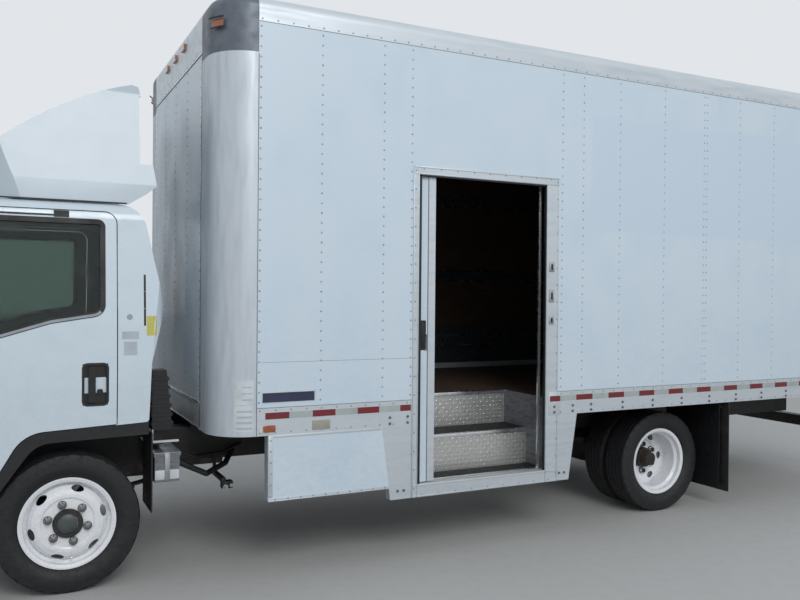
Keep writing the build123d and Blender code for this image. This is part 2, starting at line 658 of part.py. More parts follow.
def side_door():
    """Sliding leaf with its pull handle, drawn open at its resting place."""
    x = (LEAF_REST_BACK - LEAF_WIDTH, LEAF_REST_BACK)
    leaf = block(x, LEAF_Y, (LEAF_LOW, LEAF_HIGH))
    leaf -= block((x[1] - 80, x[1] - 45), (LEAF_Y[0] - 1, LEAF_Y[0] + 14), (1370, 1480))
    for place in (x[0] + 150, x[1] - 210):
        runner_z = (LEAF_HIGH, LEAF_HIGH + 7 - CLEAR)
        leaf += block((place, place + 60), (LEAF_Y[0] + 12, LEAF_Y[1] - 12), runner_z)
    return leaf


def step_well():
    """Two folded steps between side cheeks, from the sill up to the floor."""
    t = STEP_SHEET
    front = -SKIN_IN + 55
    stair = [(front, DOOR_LOW), (-RISER_1, DOOR_LOW), (-RISER_1, TREAD_HEIGHT), (-RISER_2, TREAD_HEIGHT),
             (-RISER_2, FLOOR_TOP), (-RISER_2 + t, FLOOR_TOP), (-RISER_2 + t, TREAD_HEIGHT - t),
             (-RISER_1 + t, TREAD_HEIGHT - t), (-RISER_1 + t, DOOR_LOW - t), (front, DOOR_LOW - t)]
    treads = along_x(face_of([(y, z, 0) for y, z in stair]), WELL_X)
    cheeks = block((WELL_X[1], WELL_X[1] + t), (front, -RISER_2 + t), (DOOR_LOW - t, FLOOR_TOP))
    cheeks += block((WELL_X[0] - t, WELL_X[0]), (PANEL_Y[1], -RISER_2 + t), (DOOR_LOW - t, FLOOR_TOP))
    return treads + cheeks


def marker_lamps():
    """Clearance lamps on the caps, the header, the side rails and the rear portal."""
    lamps = []
    for y in (-300, 0, 300):
        across = (y - 45, y + 45)
        lamps.append(block((BOX_FRONT - 18, BOX_FRONT), across, (BOX_TOP - 140, BOX_TOP - 100)))
        lamps.append(block((BOX_BACK, BOX_BACK + 18), across, (BOX_TOP - 110 - 40, BOX_TOP - 110)))
    for side in (-1, 1):
        front = block((BOX_SIDE_FRONT + 40, BOX_SIDE_FRONT + 80), (BOX_HALF, BOX_HALF + 14), (905, 941))
        back = block((REAR_FRAME_X + 10, BOX_BACK - 20), (BOX_HALF, BOX_HALF + 14), (905, 941))
        tail = block((BOX_BACK, BOX_BACK + 25), (760, 960), (895, 985))
        lamps += [front, back, tail] if side > 0 else [flipped(front), flipped(back), flipped(tail)]
    return lamps


# Corners of the cab's side view as (x, z, corner radius)
CAB_SIDE = [(-1045, 705, 30), (-1078, 900, 150), (-1062, 1350, 100), (-790, 2180, 120), (-560, CAB_ROOF, 250),
            (400, CAB_ROOF, 170), (CAB_BACK, 1640, 350), (455, 1330, 150), (440, 976, 20),
            (-235, 943, 190), (-400, CAB_FLOOR_LOW, 25), (-950, CAB_FLOOR_LOW, 60)]
# Corners of the cab's front view as (y, z, corner radius), left half
CAB_END_LEFT = [(-985, 500, 0), (-CAB_HALF, 1200, 600), (-985, 1560, 600), (-925, CAB_ROOF + ROOF_CROWN, 110)]
CAB_END = CAB_END_LEFT + [(-y, z, r) for y, z, r in reversed(CAB_END_LEFT)]
# Corners of the cab's plan as (x, y, corner radius), left half
CAB_PLAN = [(CAB_BACK, -1000, 120), (-1040, -1000, 190), (CAB_FRONT, 0, 9000)]


def cab_body(depth):
    """Cab filled solid, with its skin moved inwards by a distance."""
    plan = CAB_PLAN + [(x, -y, r) for x, y, r in reversed(CAB_PLAN[:-1])]
    solid = along_y(face_of(inset(CAB_SIDE, depth)), (-1100, 1100))
    solid = solid & along_x(face_of(inset(CAB_END, depth)), (-1200, 700))
    return solid & along_z(face_of(inset(plan, depth)), (500, 2400))


def cab_sides(depth):
    """Space outside the faces that lie a depth inside the cab's sides."""
    whole = block((-1300, 800), (-1200, 1200), (510, 2500))
    return whole - along_x(face_of(inset(CAB_END, depth)), (-1400, 900))


def door_outline(gap):
    """Side view of a cab door, smaller all round by a gap."""
    corner, arch = CAB_SIDE[-4], CAB_SIDE[-3:-1]
    slope = (corner[1] - arch[0][1]) / (corner[0] - arch[0][0])
    back_low = arch[0][1] + slope * (CAB_DOOR_BACK - arch[0][0])
    corners = [(CAB_DOOR_FRONT, CAB_FLOOR_LOW, 15), (CAB_DOOR_FRONT, 1340, 60), (-640, CAB_DOOR_TOP, 80),
               (CAB_DOOR_BACK, CAB_DOOR_TOP, 75), (CAB_DOOR_BACK, back_low, 12)] + arch
    return face_of(inset(corners, gap))


def window_outline():
    """Side view of a cab door's window, with its sill dropping forwards."""
    return face_of([(-800, 1400, 40), (-640, 2168, 60), (190, 2168, 40), (190, 1612, 70), (-100, 1567, 200),
                    (-420, 1470, 200)])


def windscreen_outline():
    """Front view of the windscreen."""
    return face_of([(-850, 1400, 60), (-770, 2110, 60), (770, 2110, 60), (850, 1400, 60)])


def rear_window_outline():
    """Front view of the cab's rear window."""
    return face_of([(-420, 1600, 50), (-420, 2000, 50), (420, 2000, 50), (420, 1600, 50)])


def cab_hinge():
    """Place in plan of the left door's hinge axis, just outside the skin."""
    return CAB_DOOR_FRONT - 3, -CAB_HALF - 7


def cab_shell():
    """Cab walls, floor and engine tunnel, open at the doors and windows."""
    wall = CAB_WALL
    shell = cab_body(0) - cab_body(wall)
    t = PANEL_T
    hump = block((TUNNEL_FRONT - t, CAB_BACK), (-TUNNEL_HALF - t, TUNNEL_HALF + t),
                 (CAB_FLOOR_LOW, TUNNEL_TOP + t))
    hump += block((TILT_X - 20, 0), (-RECESS_HALF - t, RECESS_HALF + t), (CAB_FLOOR_LOW, RECESS_TOP + t))
    shell += hump & cab_body(0)
    shell -= block((TUNNEL_FRONT, CAB_BACK + 50), (-TUNNEL_HALF, TUNNEL_HALF), (500, TUNNEL_TOP))
    shell -= block((TILT_X + 2, 0), (-RECESS_HALF, RECESS_HALF), (500, RECESS_TOP))
    for side in (-1, 1):
        middle = side * (RAIL_OUT - 30)
        shell += block((TILT_X - 20, TILT_X + 25), (middle - 10, middle + 10), (TILT_Z - 18, RECESS_TOP + 1))
        shell -= rod_y(TILT_X, TILT_Z, TILT_PIN_R + CLEAR, (middle - 18, middle + 18))
        ear = side * (RAIL_OUT - 2)
        shell -= rod_y(TILT_X, TILT_Z, 31, (ear - 17, ear + 17))
    shell -= along_x(windscreen_outline(), (-1300, -600))
    shell -= along_x(rear_window_outline(), (300, 700))
    for n in range(GRILLE_SLOTS):
        z = GRILLE_LOW + n * GRILLE_PITCH
        slot = face_of([(-560, z, 10), (-560, z + 40, 10), (560, z + 40, 10), (560, z, 10)])
        shell -= along_x(slot, (-1300, -900)) - cab_body(GRILLE_DEPTH)
    opening = along_y(door_outline(0), (-1150, 1150)) + block((-400, 262), (-1150, 1150), (640, 960))
    shell -= opening & cab_sides(wall)
    axis_x, axis_y = cab_hinge()
    for z in CAB_HINGE_ZS:
        notch = block((axis_x - 14, axis_x + 5), (axis_y - 5, axis_y + 30), (z - 23, z + 23))
        shell -= notch + flipped(notch)
        ears = rod_z(axis_x, axis_y, 4, (z - 40, z + 40))
        for low in (z - 40, z + 24):
            ears += rod_z(axis_x, axis_y, 8, (low, low + 16))
            ears += block((axis_x - 20, axis_x), (axis_y - 4, axis_y + 19), (low, low + 16))
        shell += ears + flipped(ears)
    return shell


def cab_door(side):
    """Cab door with its window hole, for side -1 or 1."""
    panel = cab_body(0) & cab_sides(CAB_WALL) & along_y(door_outline(SWING_GAP), (-1150, -700))
    panel -= along_y(window_outline(), (-1150, -700))
    panel -= block((69, 208), (-1100, -960), (1090, 1331))
    panel += cab_body(14) & cab_sides(26) & block((60, 215), (-1100, -900), (1080, 1340))
    axis_x, axis_y = cab_hinge()
    for z in CAB_HINGE_ZS:
        panel += block((axis_x, axis_x + 22), (axis_y - 4, axis_y + 19), (z - 18, z + 18))
        panel += rod_z(axis_x, axis_y, 8, (z - 18, z + 18))
        panel -= rod_z(axis_x, axis_y, 4 + CLEAR, (z - 60, z + 60))
    return panel if side < 0 else flipped(panel)


def cab_glass_skin():
    """Thin layer in which the cab's glass lies."""
    return cab_body(GLASS_INSET) - cab_body(GLASS_INSET + GLASS_T)


def arch_flare():
    """Black flare under the door along the left wheel arch."""
    outline = [(-400, CAB_FLOOR_LOW, 0), (-235, 943, 190), (440, 976, 0), (440, 900, 0), (-175, 884, 160),
               (-380, 598, 0), (-436, 598, 0)]
    return along_y(face_of(outline), (-985, -915)) - along_y(face_of(CAB_SIDE), (-1100, 1100))


def roof_fairing():
    """Wind deflector on the cab roof: a shell that is open at the back and below."""
    base = CAB_ROOF + CLEAR
    rise = ThreePointArc((-690, base), (-290, 2685), (365, 3025))
    rest = [Line((365, 3025), (400, 3012)), Line((400, 3012), (498, 2394)), Line((498, 2394), (439, 2345)),
            Line((439, 2345), (330, base)), Line((330, base), (-690, base))]
    side = along_y(make_face([rise] + rest), (-1000, 1000))
    end = [(-885, 2200, 0), (-868, 2400, 60), (-770, 3080, 160), (770, 3080, 160), (868, 2400, 60),
           (885, 2200, 0)]
    plan = [(540, -890, 0), (-330, -890, 500), (-720, -560, 200), (-740, 0, 900), (-720, 560, 200),
            (-330, 890, 500), (540, 890, 0)]
    outer = side & along_x(face_of(end), (-800, 600)) & along_z(face_of(plan), (2000, 3200))
    inner_rise = ThreePointArc((-668, base - 5), (-276, 2671), (379, 3007))
    inner_rest = [Line((379, 3007), (600, 3007)), Line((600, 3007), (600, base - 5)),
                  Line((600, base - 5), (-668, base - 5))]
    inner = along_y(make_face([inner_rise] + inner_rest), (-1000, 1000))
    inner = inner & along_x(face_of(inset(end, 18)), (-800, 650))
    inner = inner & along_z(face_of(inset(plan, 18)), (2000, 3200))
    inner += block((400, 700), (-850, 850), (2500, 2950))
    return outer - inner


def dashboard():
    """Dashboard below the windscreen, seated on the front wall."""
    outline = [(-1035, 1000, 0), (-1020, 1390, 20), (-780, 1440, 60), (-690, 1330, 50), (-760, 1000, 60)]
    whole = along_y(face_of(outline), (-930, 930)) & cab_body(CAB_WALL + CLEAR)
    return whole - steering_place() * Pos(0, 0, -300) * Cylinder(28 + CLEAR, 600)


def seats():
    """Driver's seat, middle seat and passenger's seat: base, cushion and back of each."""
    pieces = []
    for y, width in ((-560, 500), (-60, 380), (500, 600)):
        span = (y - width / 2, y + width / 2)
        cushion = [(-270, 1190, 20), (-270, 1330, 50), (230, 1310, 20), (230, 1190, 10)]
        back = [(240, 1200, 20), (205, 1330, 10), (290, 1990, 40), (390, 1980, 40), (350, 1200, 20)]
        pieces += [along_y(face_of(cushion), span), along_y(face_of(back), span)]
    return pieces


def seat_bases():
    """Boxes that carry the seats beside the engine tunnel."""
    left = block((-180, 380), (-840, -345), (900, 1190 - CLEAR)) & cab_body(CAB_WALL + CLEAR)
    middle = block((-180, 380), (-240, 120), (TUNNEL_TOP + PANEL_T + CLEAR, 1190 - CLEAR))
    return [left, flipped(left), middle]


def steering_place():
    """Centre and slope of the steering wheel."""
    return Pos(-530, -560, 1500) * Rot(0, 28, 0)


def steering_wheel():
    """Steering wheel with three spokes on its column."""
    wheel = Torus(210, 15) + Pos(0, 0, -20) * Cylinder(45, 40)
    for turn in (90, 210, 330):
        wheel += Rot(0, 0, turn) * Pos(125, 0, -8) * Box(180, 34, 12)
    column = Pos(0, 0, -260) * Cylinder(28, 460)
    return steering_place() * (wheel + column)


def front_bumper():
    """Bumper across the front, swept back at its ends, on two brackets."""
    half = [(FRONT_END, -760, 260), (-1020, -1000, 60), (-830, -1000, 20), (-830, -950, 20),
            (-985, -950, 60), (-1060, -740, 200)]
    other = [(x, -y, r) for x, y, r in reversed(half)]
    shell = along_z(face_of(half + other), (350, BUMPER_TOP))
    opening = [(-330, 430, 30), (-330, 560, 30), (330, 560, 30), (330, 430, 30)]
    shell -= along_x(face_of(opening), (-1200, -1000))
    bracket = block((-1062, RAIL_FRONT), (RAIL_OUT - 60, RAIL_OUT), (RAIL_BOTTOM - 60, BUMPER_TOP))
    return shell + bracket + flipped(bracket)


def entry_steps():
    """Step box below the left cab door, ahead of the front wheel, with its two brackets."""
    tread = block((-815, -480), (-960, -700), (380, 400))
    back = block((-815, -480), (-716, -700), (380, 640))
    ends = block((-815, -799), (-960, -700), (380, 640))
    arms = block((-780, -740), (-700, -RAIL_OUT), (612, 640))
    arms += block((-560, -520), (-700, -RAIL_OUT), (612, 640))
    return tread + back + ends + arms


def mudguards():
    """Guards behind the front wheels and flaps behind the rear wheels."""
    pieces = []
    front = block((460, 468), (-960, -640), (420, 900))
    front += block((460, 500), (-700, -425), (780, 800))
    x = WHEELBASE + FLAP_BEHIND
    flap = block((x, x + 10), (-1150, -560), (170, RAIL_LOW + 14))
    bar = block((x + 10, x + 40), (-1150, -RAIL_OUT), (820, 860))
    pieces += pair(front) + pair(flap + bar)
    return pieces


def front_axle():
    """Beam between the kingpins with its springs."""
    half = block((-38, 38), (0, KINGPIN_HALF - 60), (TYRE_R - 60, BEAM_TOP))
    half += block((-28, 28), (KINGPIN_HALF - 66, KINGPIN_HALF), (TYRE_R - 44, TYRE_R + 44))
    half += rod_z(0, KINGPIN_HALF, 28, (TYRE_R - 44, TYRE_R + 44))
    half += rod_z(0, KINGPIN_HALF, KINGPIN_R, (TYRE_R - 88, TYRE_R + 88))
    y = FRONT_SPRING[4]
    half += block((-60, 60), (y - 33, y + 33), (BEAM_TOP - 20, BEAM_TOP + 4))
    half += leaf_pack(FRONT_SPRING, 0, BEAM_TOP)
    return half + flipped(half)


def rear_axle():
    """Banjo housing between the wheels with its springs."""
    end = AXLE_TUBE_HALF
    tube = [(-end, 0, 0), (-end, 62, 0), (-240, 62, 60), (-130, 168, 80), (130, 168, 80), (240, 62, 60),
            (end, 62, 0), (end, 0, 0)]
    y = REAR_SPRING[4]
    half = leaf_pack(REAR_SPRING, WHEELBASE, REAR_SPRING_LOW)
    half += block((WHEELBASE - 60, WHEELBASE + 60), (y - 35, y + 35), (TYRE_R, REAR_SPRING_LOW + 4))
    return Pos(WHEELBASE, 0, TYRE_R) * turned(tube) + half + flipped(half)


def powertrain():
    """Engine as one block, gearbox and propeller shaft."""
    engine = block((-450, 350), (-270, 270), (480, 1080))
    mounts = block((-120, -40), (-RAIL_OUT + RAIL_SHEET, RAIL_OUT - RAIL_SHEET), (660, 700))
    gearbox = Part()
    # half width, lowest and highest z, and ends of each part of the gearbox
    for half, low, high, x in ((190, 470, 860, (350, 620)), (130, 500, 780, (600, 1100))):
        outline = [(-half, low, 60), (-half, high, 60), (half, high, 60), (half, low, 60)]
        gearbox += along_x(face_of(outline), x)
    shaft = rod((1100, 0, 620), (WHEELBASE - 169, 0, TYRE_R + 20), 45)
    return engine + mounts + gearbox + shaft


def fuel_tank():
    """Tank on straps outside the right rail."""
    tank = along_x(face_of([(480, 430, 60), (480, 780, 60), (960, 780, 60), (960, 430, 60)]), (1250, 2250))
    for x in (1450, 2050):
        tank += block((x - 30, x + 30), (RAIL_OUT, 500), (620, 790))
    return tank


def exhaust():
    """Silencer behind the tank with a short tail pipe."""
    can = Pos(2900, 640, 640) * Rot(0, 90, 0) * Cylinder(130, 800)
    pipe = Pos(3420, 640, 640) * Rot(0, 90, 0) * Cylinder(40, 260)
    hangers = Part()
    for x in (2720, 3080):
        hangers += block((x - 20, x + 20), (RAIL_OUT, 560), (620, 660))
    return can + pipe + hangers


def battery_box():
    """Battery box outside the left rail behind the cab."""
    box = block((486, 634), (-924, -566), (590, 746)) + block((480, 640), (-930, -560), (746, 766))
    return box + block((486, 630), (-567, -RAIL_OUT), (640, 700))


def air_intake():
    """Ribbed intake duct behind the cab on the left."""
    duct = along_y(face_of([(480, 900, 0), (600, 900, 0), (565, 1268, 0), (480, 1268, 0)]), (-860, -740))
    for n in range(6):
        z = 930 + n * 55
        duct += block((474, 606 - n * 5), (-866, -734), (z, z + 18))
    duct += block((500, 560), (-740, -425), (800, 840)) + block((500, 560), (-790, -740), (800, 910))
    return duct


def cab_support():
    """Posts on the rails that carry the back of the cab."""
    leg = block((395, 430), (340, RAIL_OUT), (RAIL_TOP, 973.5))
    return leg + flipped(leg)


def mirrors():
    """Door mirrors on tube arms from the front pillars."""
    outline = [(-1340, 1500, 45), (-1340, 1900, 45), (-1150, 1900, 45), (-1150, 1500, 45)]
    whole = along_x(face_of(outline), (-1015, -955)) - along_x(face_of(inset(outline, 12)), (-959, -950))
    whole += rod((-985, -1155, 1560), (-970, -900, 1530), 11)
    whole += rod((-985, -1155, 1840), (-880, -900, 1800), 11)
    return pair(whole - cab_body(0))


def headlamps():
    """Lamps at the lower corners of the cab front."""
    lamp = block((-1120, -1000), (-930, -640), (800, 930)) & cab_body(-8)
    lamp = lamp - cab_body(0)
    return pair(lamp)


def write_chassis():
    """Ladder frame, axles, engine and what hangs on the rails."""
    export("frame", *frame_rails())
    export("cross_members", *cross_members())
    export("powertrain", powertrain())
    export("front_axle", front_axle())
    export("rear_axle", rear_axle())
    export("fuel_tank", fuel_tank())
    export("exhaust", exhaust())
    export("battery_box", battery_box())
    export("air_intake", air_intake())
    export("cab_support", cab_support())
    export("front_bumper", front_bumper())
    export("entry_steps", *pair(entry_steps()))
    export("mudguards", *mudguards())


def write_wheels():
    """Knuckles, wheels and tyres."""
    for name, side in (("left", -1), ("right", 1)):
        export(f"{name}_knuckle", knuckle(side))
        export(f"front_{name}_wheel", front_wheel(side))
        export(f"front_{name}_tyre", Pos(0, side * FRONT_TRACK_HALF, TYRE_R) * tyre())
        export(f"rear_{name}_wheels", rear_wheels(side))
        export(f"rear_{name}_tyres", *rear_tyres(side))


def write_box():
    """Box body with its doors."""
    export("body_sills", *body_sills())
    export("cross_beams", *cross_beams())
    export("box_floor", box_floor())
    export("bottom_rails", *bottom_rails())
    export("box_left_wall", left_wall())
    export("box_right_wall", right_wall())
    export("box_front_wall", front_wall())
    export("corner_posts", *corner_posts())
    export("corner_caps", *corner_caps())
    export("top_rails", *top_rails())
    export("box_roof", box_roof())
    export("roof_bows", *roof_bows())
    export("load_tracks", *load_tracks())
    export("rear_frame", rear_frame())
    export("rear_bumper", rear_bumper())
    export("marker_lamps", *marker_lamps())
    export("side_door_frame", side_door_frame())
    export("door_pocket", door_pocket())
    export("step_well", step_well())
    export("side_door", side_door())
    for name, side in (("left", -1), ("right", 1)):
        export(f"rear_{name}_door", rear_door(side))


def write_cab():
    """Cab with its doors, glass and inside."""
    export("cab_shell", cab_shell())
    skin = cab_glass_skin()
    screens = along_x(windscreen_outline(), (-1300, -600)) + along_x(rear_window_outline(), (300, 700))
    export("cab_glass", skin & screens)
    for name, side in (("left", -1), ("right", 1)):
        export(f"{name}_door", cab_door(side))
        pane = skin & along_y(window_outline(), (-1150, -700))
        export(f"{name}_door_glass", pane if side < 0 else flipped(pane))
    export("arch_flares", *pair(arch_flare()))
    export("roof_fairing", roof_fairing())
    export("dashboard", dashboard())
    export("seats", *seats())
    export("seat_bases", *seat_bases())
    export("steering_wheel", steering_wheel())
    export("mirrors", *mirrors())
    export("headlamps", *headlamps())


write_chassis()
write_wheels()
write_box()
write_cab()
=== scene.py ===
# %% [markdown]
# # A box truck with a walk-in side door
#
# The truck has a low white cab with a wind deflector on its roof, and a tall white body with
# bare aluminium edges. A sliding door stands open in the body's left side, over two folded
# steps. The frame that is loaded here holds the truck's real pieces at their real size. What
# follows gives each of them its finish and adds what is too small or too soft to be in it:
# rivets, seals, lamps, tread, tape, bolts, cushions and glass.
#
# Sizes are in metres. The truck stands on the ground at Z = 0 with its cab towards -X, and the
# side door is on its -Y side.

# %% Load the frame
import json
import math

import bmesh
import bpy
from mathutils import Matrix, Vector


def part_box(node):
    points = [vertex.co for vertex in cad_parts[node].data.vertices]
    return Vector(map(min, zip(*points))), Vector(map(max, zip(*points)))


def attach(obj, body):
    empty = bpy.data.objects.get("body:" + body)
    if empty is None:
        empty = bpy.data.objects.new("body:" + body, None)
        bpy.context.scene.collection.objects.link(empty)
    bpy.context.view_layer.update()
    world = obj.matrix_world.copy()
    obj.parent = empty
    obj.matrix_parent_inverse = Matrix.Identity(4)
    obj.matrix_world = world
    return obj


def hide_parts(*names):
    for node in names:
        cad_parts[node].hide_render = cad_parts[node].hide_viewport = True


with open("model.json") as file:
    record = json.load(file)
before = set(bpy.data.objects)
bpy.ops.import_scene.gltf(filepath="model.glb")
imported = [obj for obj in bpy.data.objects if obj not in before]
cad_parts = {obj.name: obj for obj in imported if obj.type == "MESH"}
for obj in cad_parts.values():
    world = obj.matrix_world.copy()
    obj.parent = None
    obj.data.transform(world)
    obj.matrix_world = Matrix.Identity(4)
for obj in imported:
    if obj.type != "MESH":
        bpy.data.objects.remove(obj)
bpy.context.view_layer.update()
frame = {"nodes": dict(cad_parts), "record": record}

# %% [markdown]
# ## Where things are
#
# A truck is measured from its front axle, so a place along it is written here as a distance
# behind that axle. The middle of the front left tyre gives the axle, and the walls give the
# planes that trim is fixed to. If the frame changes, what is added moves with it.

# %% Measure the frame
tyre_low, tyre_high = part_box("front_left_tyre")
rear_low, rear_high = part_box("rear_left_tyres")
AXLE_X = (tyre_low.x + tyre_high.x) / 2
WHEELBASE = (rear_low.x + rear_high.x) / 2 - AXLE_X
TYRE_R = (tyre_high.z - tyre_low.z) / 2
WALL_IN, WALL_Y = (corner.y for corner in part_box("box_right_wall"))
RAIL_LOW, RAIL_SEAM = (corner.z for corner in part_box("bottom_rails"))
ROOF_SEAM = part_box("box_right_wall")[1].z
FRONT_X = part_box("box_front_wall")[0].x - AXLE_X
REAR_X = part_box("rear_left_door")[0].x + 0.040 - AXLE_X
FLOOR_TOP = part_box("box_floor")[1].z
DOOR_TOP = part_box("side_door_frame")[1].z
FRAME_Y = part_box("side_door_frame")[0].y


def at(x, y, z):
    """Point at a distance x behind the front axle."""
    return Vector((x + AXLE_X, y, z))


print("front axle at", round(AXLE_X, 3), "and the rear axle", round(WHEELBASE, 3), "behind it")

# %% [markdown]
# ## The camera
#
# The photograph was taken from a standing person's eye height, a little ahead of the cab's back
# and about five metres from the truck's side. The camera is turned a quarter of the way towards
# the rear and rolled by half a degree. Its place and angles come from points on the truck whose
# real places are known, so what is drawn lands where the photograph has it.

# %% Place the camera
CAMERA_PLACE = at(-0.3571, -5.9321, 1.7486)
CAMERA_YAW, CAMERA_PITCH, CAMERA_ROLL = (math.radians(angle) for angle in (26.481, -0.414, 0.501))
CAMERA_LENS = 36.106


def camera_matrix():
    """Turn the view from +Y towards +X, tip it and roll it."""
    ahead = Vector((math.sin(CAMERA_YAW) * math.cos(CAMERA_PITCH),
                    math.cos(CAMERA_YAW) * math.cos(CAMERA_PITCH), math.sin(CAMERA_PITCH)))
    level = Vector((math.cos(CAMERA_YAW), -math.sin(CAMERA_YAW), 0))
    up = level.cross(ahead)
    right = level * math.cos(CAMERA_ROLL) + up * math.sin(CAMERA_ROLL)
    top = up * math.cos(CAMERA_ROLL) - level * math.sin(CAMERA_ROLL)
    turn = Matrix((right, top, -ahead)).transposed().to_4x4()
    return Matrix.Translation(CAMERA_PLACE) @ turn


def add_object(name, data):
    """Object at the origin, linked to the scene."""
    thing = bpy.data.objects.new(name, data)
    bpy.context.scene.collection.objects.link(thing)
    return thing


camera = add_object("camera", bpy.data.cameras.new("camera"))
camera.data.lens = CAMERA_LENS
camera.data.clip_end = 200
camera.matrix_world = camera_matrix()
bpy.context.scene.camera = camera
bpy.context.scene.view_settings.view_transform = "Standard"
print("camera at", [round(value, 3) for value in CAMERA_PLACE])

# %% [markdown]
# ## Making solids from operators
#
# Nearly every fitting on a truck is a folded sheet, a turned part, a bar or a bent tube. A few
# short helpers make these from Blender's own mesh operators: a cube that is stretched and
# bevelled, a cone between two points, an outline that is extruded, and a profile that is spun.
# Each helper adds to a mesh that is already open, so that one piece can be built from many.

# %% Helpers that add shapes to a mesh
AXES = {"X": Vector((1, 0, 0)), "Y": Vector((0, 1, 0)), "Z": Vector((0, 0, 1))}
WELD = 0.00001


def soften(bm, verts, width):
    """Round the edges between the given corners."""
    inside = set(verts)
    edges = {edge for vert in verts for edge in vert.link_edges if edge.other_vert(vert) in inside}
    bmesh.ops.bevel(bm, geom=list(edges), offset=width, offset_type="OFFSET", affect="EDGES",
                    segments=2, profile=0.5, material=-1, clamp_overlap=True)


def add_box(bm, corner, other, round_off=0.0):
    """Box between two opposite corners, with rounded edges if a width is given."""
    low, high = (Vector(map(pick, corner, other)) for pick in (min, max))
    size = Matrix.Diagonal((*(high - low), 1))
    made = bmesh.ops.create_cube(bm, size=1.0, matrix=Matrix.Translation((low + high) / 2) @ size)
    if round_off:
        soften(bm, made["verts"], round_off)


def add_bar(bm, start, end, radius, segments=16, tip=None):
    """Round bar between two points, with another radius at its end if one is given."""
    run = end - start
    turn = run.to_track_quat("Z", "Y").to_matrix().to_4x4()
    bmesh.ops.create_cone(bm, cap_ends=True, segments=segments, radius1=radius,
                          radius2=radius if tip is None else tip, depth=run.length,
                          matrix=Matrix.Translation((start + end) / 2) @ turn)


def on_plane(axis, first, second, along):
    """Point from two plane values and one along the axis."""
    values = [first, second]
    values.insert("XYZ".index(axis), along)
    return Vector(values)


def verts_in(items):
    """Only the vertices among what an operator returned."""
    return [item for item in items if isinstance(item, bmesh.types.BMVert)]


def add_plate(bm, outline, axis, low, high, round_off=0.0):
    """Outline in the plane across an axis, given a thickness along that axis."""
    verts = [bm.verts.new(on_plane(axis, a, b, low)) for a, b in outline]
    top = verts_in(bmesh.ops.extrude_face_region(bm, geom=[bm.faces.new(verts)])["geom"])
    bmesh.ops.translate(bm, verts=top, vec=AXES[axis] * (high - low))
    if round_off:
        soften(bm, verts + top, round_off)


def rounded(low, high, radius, steps=6):
    """Rectangle outline with round corners, from its lowest and highest corner."""
    left, bottom, right, top = low[0] + radius, low[1] + radius, high[0] - radius, high[1] - radius
    outline = []
    for a, b, start in ((right, top, 0), (left, top, 90), (left, bottom, 180), (right, bottom, 270)):
        for n in range(steps + 1):
            angle = math.radians(start + 90 * n / steps)
            outline.append((a + radius * math.cos(angle), b + radius * math.sin(angle)))
    return outline


def add_turned(bm, profile, centre, steps, closed=False):
    """Profile of (along, radius) points spun about the axle line through a centre."""
    verts = [bm.verts.new(centre + AXES["Y"] * along + AXES["X"] * radius) for along, radius in profile]
    ends = verts[1:] + verts[:1] if closed else verts[1:]
    edges = [bm.edges.new(pair) for pair in zip(verts, ends)]
    bmesh.ops.spin(bm, geom=verts + edges, cent=centre, axis=AXES["Y"], dvec=(0, 0, 0),
                   angle=2 * math.pi, steps=steps, use_merge=True)


def add_tube(bm, points, radius, segments=10):
    """Bent tube through the points, with a ball at each bend."""
    for start, end in zip(points, points[1:]):
        add_bar(bm, start, end, radius, segments)
    for point in points[1:-1]:
        bmesh.ops.create_icosphere(bm, subdivisions=2, radius=radius, matrix=Matrix.Translation(point))


def turned_over(bm, verts):
    """Carry vertices over to the other side of the truck."""
    bmesh.ops.scale(bm, verts=verts, vec=(1, -1, 1))


def mirrored(bm):
    """Copy everything in the mesh to the other side of the truck."""
    copy = bmesh.ops.duplicate(bm, geom=bm.verts[:] + bm.edges[:] + bm.faces[:])["geom"]
    turned_over(bm, verts_in(copy))
    faces = [item for item in copy if isinstance(item, bmesh.types.BMFace)]
    bmesh.ops.reverse_faces(bm, faces=faces)


# %% Helpers that finish a piece
def finish_piece(name, bm, body, slot, sharp=32, weld=WELD):
    """Close the mesh, make its object and let it ride on a body of the frame."""
    bmesh.ops.remove_doubles(bm, verts=bm.verts, dist=weld)
    bmesh.ops.recalc_face_normals(bm, faces=bm.faces)
    mesh = bpy.data.meshes.new(name)
    bm.to_mesh(mesh)
    bm.free()
    mesh.shade_smooth()
    mesh.set_sharp_from_angle(angle=math.radians(sharp))
    piece = add_object(name, mesh)
    mesh.materials.append(FINISHES[slot])
    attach(piece, body)
    print("piece", name, "has", len(mesh.polygons), "faces")
    return piece


def box_piece(name, slot, rows, body="chassis", both=False, weld=WELD):
    """Piece of boxes: rows of x, y, z, x, y, z and, where edges are rounded, their width."""
    bm = bmesh.new()
    for row in rows:
        add_box(bm, at(*row[:3]), at(*row[3:6]), *row[6:])
    if both:
        mirrored(bm)
    finish_piece(name, bm, body, slot, weld=weld)


def bar_piece(name, slot, rows, body="chassis"):
    """Piece of bars: rows of x, y, z, x, y, z, the radius and how many sides it has."""
    bm = bmesh.new()
    for row in rows:
        add_bar(bm, at(*row[:3]), at(*row[3:6]), *row[6:])
    finish_piece(name, bm, body, slot)


print("shape helpers are ready")

# %% [markdown]
# ## Shared effects
#
# A truck that has worked for years shows the same few effects everywhere. Its paint varies a
# little in tone, dust gathers near the ground and under edges, rolled metal has a grain along
# its length, and moulded plastic is pebbled. Each effect is built once as a node group that
# puts out a mask, a value or a normal, and every material uses the groups with its own numbers.

# %% Build the shared node groups
FLOAT, VECTOR = "NodeSocketFloat", "NodeSocketVector"


